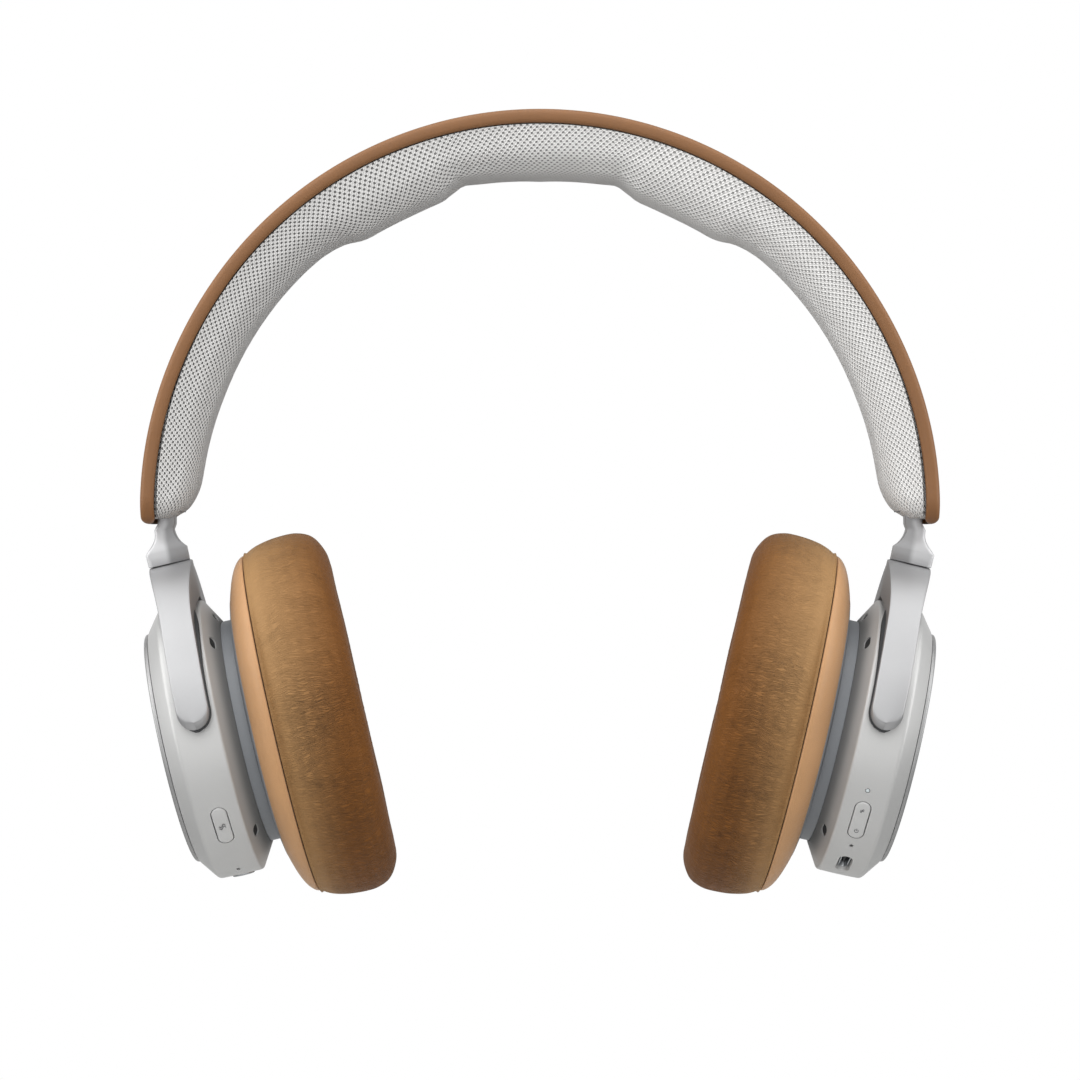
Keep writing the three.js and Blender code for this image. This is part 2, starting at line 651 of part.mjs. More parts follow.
// ---------- assembly ----------
const sides = {
  left: {
    front: -1,
    turn: 0,
    buttonAngle: LEFT_BUTTON_ANGLE,
    micAngle: LEFT_MIC_ANGLE,
    openings() {
      return [
        controlSlot(LEFT_BUTTON_ANGLE, -1),
        drilledHole(LEFT_MIC_ANGLE, -1, 0.5),
        onFlank(rod([0, 0, 30], [0, 0, 37], 3.2, 20), 90, -1),
      ];
    },
    extras() {
      const barrel = onFlank(rod([0, 0, 21], [0, 0, HOUSING_RADIUS + 0.4], 2.9, 20), 90, -1);
      const bore = onFlank(rod([0, 0, 22], [0, 0, 37], 1.8, 16), 90, -1);
      return [piece('audio_jack_socket', cut(barrel, bore), brass)];
    },
  },
  right: {
    front: 1,
    turn: Math.PI,
    buttonAngle: RIGHT_BUTTON_ANGLE,
    micAngle: RIGHT_MIC_ANGLE,
    openings() {
      return [
        controlSlot(RIGHT_BUTTON_ANGLE, 1),
        drilledHole(RIGHT_LIGHT_ANGLE, 1, 0.75),
        drilledHole(RIGHT_MIC_ANGLE, 1, 0.5),
        onFlank(extrude(pill(USB_LENGTH, USB_HEIGHT), 30, 37), USB_ANGLE, 1),
      ];
    },
    extras() {
      const shell = onFlank(extrude(pill(USB_LENGTH - 0.6, USB_HEIGHT - 0.6), 26, 33.6), USB_ANGLE, 1);
      const mouth = onFlank(extrude(pill(USB_LENGTH - 1.4, USB_HEIGHT - 1.4), 27, 36), USB_ANGLE, 1);
      return [
        piece('usb_c_socket', cut(shell, mouth), steel),
        piece('status_light_pipe', onFlank(rod([0, 0, 30.4], [0, 0, 34.4], 0.45, 12), RIGHT_LIGHT_ANGLE, 1),
          lightPipe),
        piece('battery_cell', block([5, 36, 32], [1.7, 0, 0]), cellWrap),
      ];
    },
  },
};

function earCup(name, side) {
  const cup = new THREE.Group();
  cup.position.set(...CUP_CENTRE);
  cup.rotation.y = -CUP_TILT;
  const { front, buttonAngle, micAngle } = side;
  cup.add(
    piece(`yoke_${name}`, yoke(), satinSilver),
    piece(`swivel_pin_${name}`, swivelPin(), steel),
    piece(`swivel_washer_${name}`, swivelWasher(), darkPlastic),
    piece(`pivot_pin_front_${name}`, pivotPin(front), steel),
    piece(`pivot_pin_rear_${name}`, pivotPin(-front), steel),
    piece(`housing_${name}`, housing(side), softSilver),
    piece(`touch_disc_${name}`, touchDisc(), discSilver),
    piece(`touch_board_${name}`, disc(-4.3, -3.4, 26.4), circuitGreen),
    piece(`main_board_${name}`, disc(-2.4, -1.2, 28.6), circuitGreen),
    piece(`driver_magnet_${name}`, disc(4.8, 8.8, 11.4), magnetGrey),
    piece(`driver_basket_${name}`, driverBasket(), darkPlastic),
    piece(`driver_diaphragm_${name}`, driverDiaphragm(), coneGrey),
    piece(`baffle_${name}`, baffle(), blueGrey),
    piece(`speaker_cloth_${name}`, disc(15.2, 15.7, DRIVER_RADIUS - 0.2), blackCloth),
    piece(`cushion_clip_ring_${name}`, washer(15.7, 17.1, 22.4, 27.2), darkPlastic),
    piece(`cushion_carrier_${name}`, cushionCarrier(), tanLeather),
    piece(`ear_cushion_${name}`, earCushion(), lambskin),
    piece(`button_${name}`, pressButton(buttonAngle, front), softSilver),
    piece(`button_switch_${name}`, buttonSwitch(buttonAngle, front), darkPlastic),
    piece(`microphone_${name}`, microphone(micAngle, front), brass),
    piece(`baffle_screw_front_${name}`, baffleScrew(-90 * front), steel),
    piece(`baffle_screw_rear_${name}`, baffleScrew(90 * front), steel),
    ...side.extras(),
  );
  return cup;
}

function halfOfHeadphones(name) {
  const side = sides[name];
  const half = new THREE.Group();
  half.rotation.z = side.turn;
  half.add(
    piece(`slider_guide_${name}`, sliderGuide(), darkPlastic),
    piece(`detent_spring_${name}`, detentLeaf(0, 0), steel),
    piece(`adjustment_arm_${name}`, adjustmentArm(), satinSilver),
    earCup(name, side),
  );
  return half;
}

const headphones = new THREE.Group();
headphones.add(
  piece('band_cover', bandCover(), tanLeather),
  piece('spring_steel_band', bandStrip(89, STRIP_INNER_RADIUS, STRIP_OUTER_RADIUS, -8, 8), steel),
  piece('band_cable', bandStrip(88, STRIP_INNER_RADIUS, STRIP_OUTER_RADIUS, 9, 11), darkPlastic),
  piece('pad_carrier', bandStrip(GUIDE_TOP_ANGLE - 0.8, 94.9, 95.7, -10.5, 10.5), darkPlastic),
  piece('head_pad', headPad(), meshFabric),
  halfOfHeadphones('left'),
  halfOfHeadphones('right'),
);

export default headphones;
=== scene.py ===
"""Looks of the over-ear headphones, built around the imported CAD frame.

Lengths named here are in millimetres, as in the CAD part; pieces are made in metres in the row frame.
A cup's own frame has +X towards the ear, +Z up along the cup, and the front at -Y on the left cup.
"""

import math

import bmesh
import bpy
import numpy as np
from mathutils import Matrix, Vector


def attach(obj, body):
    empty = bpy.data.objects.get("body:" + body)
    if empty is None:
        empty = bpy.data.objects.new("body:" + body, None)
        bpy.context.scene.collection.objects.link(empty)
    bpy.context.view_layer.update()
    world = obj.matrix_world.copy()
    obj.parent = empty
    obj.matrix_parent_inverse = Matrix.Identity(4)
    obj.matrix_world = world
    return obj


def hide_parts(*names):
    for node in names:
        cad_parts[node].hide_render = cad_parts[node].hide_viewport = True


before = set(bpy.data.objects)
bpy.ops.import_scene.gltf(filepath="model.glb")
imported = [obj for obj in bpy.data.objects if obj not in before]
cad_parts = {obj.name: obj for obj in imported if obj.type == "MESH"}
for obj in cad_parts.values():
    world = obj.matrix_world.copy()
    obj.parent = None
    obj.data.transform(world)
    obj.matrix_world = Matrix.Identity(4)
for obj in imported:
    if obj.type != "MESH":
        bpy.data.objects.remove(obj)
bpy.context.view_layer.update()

MM = 0.001
SIDES = {"left": 1, "right": -1}          # a right half is the left half turned half round about +Z

# Headband, about the centre of its arc.
BAND_CENTRE_Z = -82.75
BAND_RADIUS = 98.2
BAND_LIP_RADIUS = 94.9
POCKET_RADIUS = 97.0
BAND_CROWN = 0.7
BAND_END_SPREAD = 0.4                     # the cover's ends stand this far outside the arc
BAND_END = 92.15
BAND_HALF_WIDTH = 19.0
BAND_END_HALF_WIDTH = 14.5
BAND_CORNER = 7.0
PAD_END = 91.4
PAD_CORNER = 6.0
PAD_TOP_RADIUS = 94.6
PAD_TONGUE = 1.8                          # how far the pad's hidden top reaches into the cover's pocket
PAD_INNER = [(0, 82.8), (10, 83.5), (13.2, 83.9), (15.5, 82.7), (18, 81.4), (26, 80.8), (31.5, 80.85),
             (33.3, 81.25), (36.3, 82.95), (38.5, 83.6), (42, 84.1), (68, 84.4), (78.2, 84.9), (83.6, 85.2), (86.35, 85.6), (88, 86.3),
             (89.15, 87.2), (90.2, 88.5), (90.75, 90.0), (PAD_END, 91.6)]

# Ear cup.
CUP_TILT = math.radians(13)
CUP_CENTRE = np.array([-86.08, 0.0, -141.05])
HOUSING_RADIUS = 34.5
HOUSING_WALL = 1.9
HOUSING_OUTER_X = -4.9
FLANK_START_X = -1.3
FLANK_END_X = 9.6
HOUSING_EAR_X = 13.2
DISC_RADIUS = 29.1
COLLAR_RADIUS = 28.0
COLLAR_END_X = 15.4
CUSHION_HALF = (39.4, 46.1)               # half depth and half height
EAR_HALF = (19.5, 26.5)
CUSHION_FACE_X = 43.4
FRONT_FULLNESS = 0.044                    # the front of a cushion is fuller than its rear, each millimetre from the middle

# Yoke and arm.
YOKE_X = 4.4
YOKE_INNER_RADIUS = 36.05
YOKE_TINE_RADIUS = 38.6
YOKE_TOP_Z = 44.92
YOKE_SPREAD = 40.0
PIVOT_Z = 9.15
ARM_RADIUS = 92.65
FOOT_BOTTOM_Z = 45.05
ARM_RIDGE = 0.05                          # where the ridge runs, as a share of half the width
ARM_FALL = 0.36                           # how steeply the arm's front falls back from the ridge to the ear's side

# Controls, as degrees below the front.
BUTTON_ANGLE = {"left": 36.4, "right": 33.5}
BUTTON_SIZE = (11.2, 3.8)
BUTTON_TOP_RADIUS = 34.65
USB_ANGLE = 64.0
USB_SIZE = (9.0, 3.1)
LIGHT_ANGLE = 19.0
MIC_ANGLE = {"left": 70.0, "right": 48.0}
MIC_SIZE = {"left": (1.9, 0.9), "right": (1.01, 1.0)}
VENT_ANGLE = 49.0
VENT_SIZE = (3.8, 2.3)
GAP = 0.3


# ---------- numbers and grids ----------
def ease(t):
    t = np.clip(t, 0, 1)
    return t * t * (3 - 2 * t)


def curve(stations, at):
    """Value at a place on a smooth curve through (place, value) stations, which never overshoots."""
    places, values = np.array(stations, float).T
    step = np.diff(places)
    slope = np.diff(values) / step
    together = slope[:-1] * slope[1:]
    total = slope[:-1] + slope[1:]
    tangent = np.zeros_like(values)
    tangent[1:-1] = np.where(together > 0, 2 * together / np.where(total == 0, 1, total), 0)
    tangent[0], tangent[-1] = slope[0], slope[-1]
    at = np.clip(at, places[0], places[-1])
    i = np.clip(np.searchsorted(places, at) - 1, 0, len(step) - 1)
    t = (at - places[i]) / step[i]
    return (
        values[i] * (1 + 2 * t) * (1 - t) ** 2
        + values[i + 1] * t * t * (3 - 2 * t)
        + step[i] * (tangent[i] * t * (1 - t) ** 2 - tangent[i + 1] * t * t * (1 - t))
    )


def rounded(corners, cuts, steps=4):
    """Rounds a closed polygon, or one polygon a row: each corner is cut back by its length and bridged by a curve."""
    corners = np.asarray(corners, float)
    cuts = np.broadcast_to(np.asarray(cuts, float), corners.shape[:-1])[..., None]
    sides = []
    for shift in (1, -1):
        way = np.roll(corners, shift, axis=-2) - corners
        length = np.linalg.norm(way, axis=-1, keepdims=True)
        reach = np.minimum(cuts, length * 0.49)
        sides.append(corners + way / np.maximum(length, 1e-9) * reach)
    points = []
    for t in np.linspace(0, 1, steps + 1):
        points.append((1 - t) ** 2 * sides[0] + 2 * t * (1 - t) * corners + t * t * sides[1])
    shape = corners.shape
    return np.stack(points, -2).reshape(*shape[:-2], shape[-2] * (steps + 1), shape[-1])


def refine(grid, factor, axis):
    """A closed grid with more points along one axis, on smooth curves through the old ones."""
    before, after, beyond = (np.roll(grid, shift, axis) for shift in (1, -1, -2))
    parts = []
    for k in range(factor):
        t = k / factor
        parts.append(0.5 * (
            2 * grid + (after - before) * t + (2 * before - 5 * grid + 4 * after - beyond) * t ** 2
            + (3 * grid - before - 3 * after + beyond) * t ** 3))
    mixed = np.stack(parts, axis + 1)
    shape = list(grid.shape)
    shape[axis] *= factor
    return mixed.reshape(shape)


def lengths(points):
    """Distance along a closed line of points, one longer than the line."""
    return np.concatenate([[0], np.cumsum(np.linalg.norm(np.diff(points, axis=0, append=points[:1]), axis=1))])


def from_cup(points):
    """The left cup's frame to the row frame."""
    x, y, z = np.moveaxis(np.asarray(points, float), -1, 0)
    cos, sin = math.cos(CUP_TILT), math.sin(CUP_TILT)
    return CUP_CENTRE + np.stack([x * cos - z * sin, y, x * sin + z * cos], -1)


def on_arc(angle, y, radius):
    """A place on the headband: degrees from the top, front to back, and distance from the arc's centre."""
    turn = np.radians(angle)
    parts = np.broadcast_arrays(radius * np.sin(turn), y, BAND_CENTRE_Z + radius * np.cos(turn))
    return np.stack(parts, -1)


def lathe(profile, cuts, segments=192, steps=4):
    """Turns a closed (x, radius) profile about the cup's axis: one row a segment."""
    outline = rounded(profile, cuts, steps)
    turn = np.linspace(0, 2 * np.pi, segments, endpoint=False)[:, None]
    x, radius = outline[:, 0], np.maximum(outline[:, 1], 0)
    return np.stack([np.broadcast_to(x, (segments, len(x))), radius * np.sin(turn), radius * np.cos(turn)], -1)


# ---------- pieces ----------
def quads(rows, cols, wrap_rows, wrap_cols):
    """Faces of a grid, and the unwrapped row and column of each corner."""
    i, j = np.meshgrid(
        np.arange(rows if wrap_rows else rows - 1), np.arange(cols if wrap_cols else cols - 1), indexing="ij")
    i, j = i.ravel(), j.ravel()
    row = np.stack([i, i, i + 1, i + 1], -1)
    col = np.stack([j, j + 1, j + 1, j], -1)
    return (row % rows) * cols + col % cols, row, col


def solid(name, points, faces, uv=None):
    """A mesh object in the row frame from points in millimetres. uv is given corner by corner."""
    mesh = bpy.data.meshes.new(name)
    mesh.from_pydata((np.asarray(points).reshape(-1, 3) * MM).tolist(), [], [list(map(int, f)) for f in faces])
    if uv is not None:
        layer = mesh.uv_layers.new(name="weave")
        flat = np.zeros((len(mesh.loops), 2))
        flat[:len(uv)] = uv
        layer.data.foreach_set("uv", flat.ravel())
    made = bmesh.new()
    made.from_mesh(mesh)
    bmesh.ops.remove_doubles(made, verts=made.verts, dist=1e-7)
    bmesh.ops.recalc_face_normals(made, faces=made.faces)
    made.to_mesh(mesh)
    made.free()
    obj = bpy.data.objects.new(name, mesh)
    bpy.context.scene.collection.objects.link(obj)
    return obj


def skin(name, grid, wrap=(True, True), uv=None):
    """A piece over a grid of points; open ends of a tube are closed with one face each."""
    rows, cols = grid.shape[:2]
    faces, row, col = quads(rows, cols, *wrap)
    faces = faces.tolist()
    if not wrap[0]:
        faces += [list(range(cols))[::-1], [(rows - 1) * cols + k for k in range(cols)]]
    corner_uv = None
    if uv is not None:
        along, across = uv
        corner_uv = np.stack([np.asarray(along)[row], np.asarray(across)[col]], -1).reshape(-1, 2)
    return solid(name, grid, faces, corner_uv)


def finish_piece(obj, look, body, stands_for=(), sharp=32):
    """Gives a piece its finish, its body and the CAD nodes that it stands for."""
    obj.data.materials.clear()
    obj.data.materials.append(look)
    obj.data.polygons.foreach_set("use_smooth", [True] * len(obj.data.polygons))
    obj.data.set_sharp_from_angle(angle=math.radians(sharp))
    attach(obj, body)
    if stands_for:
        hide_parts(*stands_for)
    return obj


def applied(obj):
    """Replaces an object's mesh by what its modifiers make of it."""
    graph = bpy.context.evaluated_depsgraph_get()
    mesh = bpy.data.meshes.new_from_object(obj.evaluated_get(graph))
    obj.modifiers.clear()
    obj.data = mesh
    return obj


def cut(obj, cutters):
    """Cuts closed cutters out of a piece and removes them."""
    for cutter in cutters:
        step = obj.modifiers.new("cut", "BOOLEAN")
        step.operation = "DIFFERENCE"
        step.solver = "EXACT"
        step.object = cutter
    applied(obj)
    for cutter in cutters:
        bpy.data.objects.remove(cutter)
    return obj


def sided(points, side):
    return np.asarray(points) * [SIDES[side], SIDES[side], 1]


def on_cup(grid, side):
    return sided(from_cup(grid), side)


# ---------- looks ----------
def tint(code):
    """Linear colour from a hex code."""
    values = [int(code[k:k + 2], 16) / 255 for k in (0, 2, 4)]
    return [v / 12.92 if v <= 0.04045 else ((v + 0.055) / 1.055) ** 2.4 for v in values]


class Look:
    """A node material around one Principled shader."""

    def __init__(self, name, color, roughness, **sockets):
        self.material = bpy.data.materials.new(name)
        self.material.use_nodes = True
        self.tree = self.material.node_tree
        self.shader = self.tree.nodes["Principled BSDF"]
        self.color = tint(color)
        self.feed(self.shader.inputs["Base Color"], (*self.color, 1))
        self.feed(self.shader.inputs["Roughness"], roughness)
        for key, value in sockets.items():
            self.feed(self.shader.inputs[key.replace("_", " ")], value)
        self.place = self.node("TexCoord").outputs["Object"]

    def feed(self, socket, value):
        if isinstance(value, bpy.types.NodeSocket):
            self.tree.links.new(value, socket)
        else:
            socket.default_value = value

    def node(self, kind, inputs=(), **settings):
        made = self.tree.nodes.new("ShaderNode" + kind)
        for key, value in settings.items():
            setattr(made, key, value)
        for key, value in dict(inputs).items():
            self.feed(made.inputs[key], value)
        return made

    def math(self, operation, *values):
        made = self.node("Math", operation=operation)
        for socket, value in zip(made.inputs, values):
            self.feed(socket, value)
        return made.outputs[0]

    def weave(self):
        """The two coordinates that the piece's own mesh carries, in millimetres."""
        split = self.node("SeparateXYZ", {"Vector": self.node("UVMap", uv_map="weave").outputs["UV"]})
        return split.outputs["X"], split.outputs["Y"]

    def stretch(self, scale, vector=None):
        """Coordinates scaled along each axis, from the object's metres unless given."""
        inputs = {"Vector": self.place if vector is None else vector, "Scale": scale}
        return self.node("Mapping", inputs).outputs["Vector"]

    def noise(self, scale, vector=None, detail=2.0, roughness=0.5, distortion=0.0):
        inputs = {"Vector": self.place if vector is None else vector, "Scale": scale, "Detail": detail,
                  "Roughness": roughness, "Distortion": distortion}
        return self.node("TexNoise", inputs).outputs["Fac"]

    def cells(self, scale, vector=None, feature="F1"):
        inputs = {"Vector": self.place if vector is None else vector, "Scale": scale}
        return self.node("TexVoronoi", inputs, feature=feature).outputs["Distance"]

    def span(self, value, low, high, to_low=0.0, to_high=1.0):
        inputs = {"Value": value, "From Min": low, "From Max": high, "To Min": to_low, "To Max": to_high}
        return self.node("MapRange", inputs, interpolation_type="SMOOTHSTEP").outputs["Result"]

    def paint(self, amount, dark, light):
        """Base colour between two shades of the piece's colour."""
        shades = [(*[min(c * k, 1) for c in self.color], 1) for k in (dark, light)]
        return self.blend(amount, *shades)

    def blend(self, amount, first, second):
        mix = self.node("Mix", data_type="RGBA")
        self.feed(mix.inputs["Factor"], amount)
        self.feed(mix.inputs[6], first)
        self.feed(mix.inputs[7], second)
        return mix.outputs[2]

    def shaded(self, color, amount, dark, light):
        """A colour made darker or lighter by an amount from 0 to 1."""
        level = self.span(amount, 0.0, 1.0, dark, light)
        return self.node("VectorMath", {0: color, 1: self.node("CombineXYZ", {
            "X": level, "Y": level, "Z": level}).outputs["Vector"]}, operation="MULTIPLY").outputs["Vector"]

    def base(self, value):
        self.feed(self.shader.inputs["Base Color"], value)

    def rough(self, value):
        self.feed(self.shader.inputs["Roughness"], value)

    def bump(self, *heights):
        """Stacks (height, distance in millimetres) pairs on the normal."""
        normal = None
        for height, distance in heights:
            inputs = {"Height": height, "Distance": distance * MM, "Strength": 1.0}
            if normal is not None:
                inputs["Normal"] = normal
            normal = self.node("Bump", inputs).outputs["Normal"]
        self.feed(self.shader.inputs["Normal"], normal)


def leather(name, color, roughness, pore):
    """Smooth dyed leather: fine pores, broad mottling, a slight sheen."""
    look = Look(name, color, roughness, Sheen_Weight=0.06, Sheen_Roughness=0.4, Specular_IOR_Level=0.35)
    mottle = look.noise(60, detail=4, roughness=0.6)
    fine = look.noise(900, detail=3)
    look.base(look.paint(look.math("ADD", look.math("MULTIPLY", mottle, 0.7), look.math("MULTIPLY", fine, 0.3)),
                         0.8, 1.2))
    look.rough(look.span(fine, 0.3, 0.7, roughness - 0.06, roughness + 0.08))
    look.bump((look.cells(pore, feature="DISTANCE_TO_EDGE"), 0.06), (look.noise(pore * 0.4, detail=3), 0.05))
    return look


def lambskin():
    """Soft wrinkled leather: fine creases run from the seam to the face, over a fine grain. Painted shade and
    highlight run along the creases, and painted light and shade make it lighter by the seam and darker towards the
    face, sooner low on the cushion.
    """
    look = Look("lambskin", "77522b", 0.55, Sheen_Weight=0.02, Sheen_Roughness=0.45, Specular_IOR_Level=0.16)
    around, across = look.weave()
    line = look.node("CombineXYZ", {"X": around, "Y": across}).outputs["Vector"]
    wander = look.math("MULTIPLY", look.noise(0.06, line, detail=2), 8.0)
    ripple = look.math("MULTIPLY", look.noise(0.3, line, detail=1), 1.0)
    shifted = look.math("ADD", around, look.math("ADD", wander, ripple))
    crease_line = look.node("CombineXYZ", {"X": shifted, "Y": look.math("MULTIPLY", across, 0.09)}).outputs["Vector"]
    soft = look.noise(3.7, crease_line, detail=1.0, roughness=0.45, distortion=0.1)
    near_line = look.math("ABSOLUTE", look.math("SUBTRACT", soft, 0.5))
    creases = look.math("ADD", look.math("MULTIPLY", soft, 0.5), look.span(near_line, 0.0, 0.14, 0.0, 0.5))
    patches = look.span(look.noise(0.06, line, detail=2), 0.36, 0.6, 0.65, 1.0)
    height = look.span(look.node("SeparateXYZ", {"Vector": look.place}).outputs["Z"], -0.178, -0.095)
    smooth_top = look.span(height, 0.6, 0.95, 1.0, 0.55)
    middle = look.span(across, 3.0, 8.0, 0.35, 1.0)
    faded = look.span(across, 13.0, 27.0, 1.0, 0.2)
    strength = look.math("MULTIPLY", look.math("MULTIPLY", middle, faded), look.math("MULTIPLY", patches, smooth_top))
    # Painted shade and highlight along the creases, in the base colour.
    painted_crease_shading = look.math("MULTIPLY", look.math("SUBTRACT", look.span(creases, 0.3, 0.85, 0.0, 0.62), 0.34), strength)
    grain = look.cells(1500, feature="DISTANCE_TO_EDGE")
    mottle = look.math("MULTIPLY", look.math("SUBTRACT", look.noise(55, detail=4), 0.5), 0.14)
    # Painted light and shade: lighter by the seam and darker towards the face, the dark reaching closer to the seam
    # low on the cushion.
    start, end = (look.math("MULTIPLY_ADD", height, rise, low) for rise, low in ((2.0, -1.0), (11.0, 13.0)))
    painted_light_and_shade = look.blend(look.span(across, start, end), (*tint("9a774e"), 1), (*tint("6e4419"), 1))
    look.base(look.shaded(painted_light_and_shade, look.math("ADD", look.math("ADD", painted_crease_shading, mottle), 0.5), 0.8, 1.2))
    look.rough(look.span(creases, 0.3, 0.7, 0.62, 0.54))
    look.bump((grain, 0.04), (look.math("MULTIPLY", creases, strength), 0.34))
    return look


def knit():
    """Light warp-knitted spacer mesh: staggered small holes between slanting ribs. The holes are painted dark as the
    shade inside them, and painted light makes the yarn lighter and the holes paler towards the right.
    """
    look = Look("knitted mesh", "e4e3e1", 0.85, Sheen_Weight=0.25, Sheen_Roughness=0.6)
    around, across = look.weave()
    wobble = look.math("MULTIPLY", look.math("SUBTRACT", look.noise(220, detail=1), 0.5), 0.9)
    turn = 2 * math.pi
    along = look.math("ADD", look.math("MULTIPLY", around, 0.68 * turn), look.math("MULTIPLY", across, -0.1 * turn))
    down = look.math("ADD", look.math("MULTIPLY", across, 0.70 * turn), look.math("MULTIPLY", around, 0.03 * turn))
    first = look.math("COSINE", look.math("ADD", along, wobble))
    second = look.math("COSINE", look.math("ADD", down, wobble))
    lattice = look.math("MULTIPLY", first, second)
    hole = look.span(look.math("MULTIPLY", lattice, look.math("ABSOLUTE", second)), 0.1, 0.55)
    thread = look.noise(3800, detail=2)
    ribs = look.math("ABSOLUTE", look.math("SINE", look.math("MULTIPLY", look.math("ADD", along, down), 1.0)))
    yarn = look.paint(look.math("ADD", look.math("MULTIPLY", ribs, 0.45), look.math("MULTIPLY", thread, 0.55)), 0.72, 1.12)
    # Painted light falling from the left: the yarn is lighter and the painted shade in the holes paler towards the
    # right.
    painted_light_toward_right = look.span(around, -110, 90)
    deep = look.math("MULTIPLY", hole, look.span(painted_light_toward_right, 0.0, 1.0, 1.0, 0.62))
    lit = look.shaded(yarn, painted_light_toward_right, 0.82, 1.04)
    look.base(look.blend(deep, lit, (*tint("4e4d4c"), 1)))
    look.bump((look.math("SUBTRACT", look.math("MULTIPLY", ribs, 0.35), hole), 0.42), (thread, 0.05))
    return look


def metal(name, color, roughness, metallic=1.0, grain=4200, depth=0.006, **sockets):
    """Bead-blasted and anodised metal: fine even grain, faint cloudiness."""
    look = Look(name, color, roughness, Metallic=metallic, **sockets)
    cloud = look.noise(45, detail=3)
    blast = look.noise(grain, detail=2)
    look.base(look.paint(look.math("ADD", look.math("MULTIPLY", cloud, 0.5), look.math("MULTIPLY", blast, 0.5)),
                         0.94, 1.05))
    look.rough(look.span(cloud, 0.3, 0.7, roughness - 0.03, roughness + 0.04))
    look.bump((blast, depth))
    return look


def painted_facet_shade_metal():
    """Satin aluminium with painted light on the facets away from the ear and painted shade on the facets towards it;
    its mesh says how far each point lies towards the ear, from -1 to 1.
    """
    look = metal("satin aluminium", "a2a2a3", 0.48, 0.65)
    plain = look.shader.inputs["Base Color"].links[0].from_socket
    painted_shade_side = look.math("MULTIPLY_ADD", look.weave()[1], 0.5, 0.5)
    # Painted light and shade: lighter on the outer side, darker towards the ear.
    look.base(look.shaded(plain, painted_shade_side, 1.32, 0.74))
    return look


def housing_metal():
    """Silver of the housing, with painted shade darkening it in the groove beside the collar."""
    look = metal("housing silver", "bbbbba", 0.5, 0.45)
    plain = look.shader.inputs["Base Color"].links[0].from_socket
    # Painted shade: the base colour darkens across the ear-side bevel towards the collar.
    look.base(look.shaded(plain, look.span(look.weave()[1], 9.9, 13.4), 1.0, 0.52))
    return look


def turned_metal():
    """Disc with fine rings from the lathe, for a soft fan of light."""
    look = Look("disc silver", "9a9a9a", 0.4, Metallic=0.6, Anisotropic=0.4)
    around, radius = look.weave()
    line = look.node("CombineXYZ", {"X": look.math("MULTIPLY", around, 0.02), "Y": radius}).outputs["Vector"]
    rings = look.noise(9, line, detail=3, roughness=0.7)
    look.base(look.paint(rings, 0.92, 1.06))
    look.rough(look.span(rings, 0.3, 0.7, 0.34, 0.45))
    look.bump((rings, 0.006))
    return look


def plastic(name, color, roughness, grain=2600, depth=0.015, **sockets):
    """Moulded plastic with a fine spark-eroded texture."""
    look = Look(name, color, roughness, **sockets)
    texture = look.noise(grain, detail=2)
    cloud = look.noise(70, detail=3)
    look.base(look.paint(look.math("ADD", look.math("MULTIPLY", texture, 0.4), look.math("MULTIPLY", cloud, 0.6)),
                         0.86, 1.12))
    look.rough(look.span(cloud, 0.3, 0.7, roughness - 0.05, roughness + 0.07))
    look.bump((texture, depth))
    return look


def cloth_weave(name, color):
    """Fine plain-woven cloth."""
    look = Look(name, color, 0.9, Sheen_Weight=0.2, Sheen_Roughness=0.6)
    split = look.node("SeparateXYZ", {"Vector": look.place})
    waves = [look.math("SINE", look.math("MULTIPLY", split.outputs[axis], 2 * math.pi / 0.0007)) for axis in "YZ"]
    weave = look.math("MULTIPLY", *waves)
    look.base(look.paint(look.span(weave, -0.5, 0.5), 0.6, 1.5))
    look.bump((weave, 0.12))
    return look


def circuit():
    """Green solder mask with faint traces."""
    look = Look("circuit board", "1d5738", 0.45)
    traces = look.node("TexBrick", {"Vector": look.stretch((500, 500, 500)), "Scale": 1.0,
                                    "Color1": (*tint("1d5738"), 1), "Color2": (*tint("24673f"), 1),
                                    "Mortar": (*tint("9a8a3c"), 1), "Mortar Size": 0.05})
    look.base(traces.outputs["Color"])
    look.rough(look.noise(900, detail=2))
    look.bump((traces.outputs["Fac"], 0.03))
    return look


LEATHER = leather("band leather", "7c5533", 0.5, 1700)
SKIRT = leather("skirt leather", "b0865d", 0.48, 2000)
LAMBSKIN = lambskin()
KNIT = knit()
ALUMINIUM = painted_facet_shade_metal()
HOUSING = housing_metal()
BUTTONS = metal("button silver", "bebebd", 0.5, 0.25)
DISC = turned_metal()
COLLAR = plastic("collar blue grey", "7c7f83", 0.5)
STEEL = metal("bright steel", "a6a8aa", 0.28, grain=6000, depth=0.003)
DARK = plastic("dark plastic", "1d1e20", 0.6)
BOARD = circuit()
WRAP = plastic("battery wrap", "35435f", 0.35, grain=700, depth=0.02)
MAGNET = metal("magnet plating", "6a6d70", 0.3, 1.0)
CONE = plastic("cone paper", "3a3a3b", 0.75, grain=5000, depth=0.03)
CLOTH = cloth_weave("speaker cloth", "1d1d1f")
BRASS = metal("brass parts", "b4935c", 0.3)
LIGHT = plastic("light pipe", "c9d2d4", 0.3, Coat_Weight=0.5)
INK = plastic("printed mark", "5a5b5d", 0.6)


# ---------- headband ----------
def end_inset(angle, end, corner):
    """How much a rounded corner narrows the band near its end."""
    left = np.radians(end - np.abs(angle)) * BAND_RADIUS
    into = np.clip(corner - left, 0, corner)
    return corner - np.sqrt(corner ** 2 - into ** 2)


def band_half_width(angle):
    return BAND_HALF_WIDTH + (BAND_END_HALF_WIDTH - BAND_HALF_WIDTH) * ease(np.abs(angle) / 90)


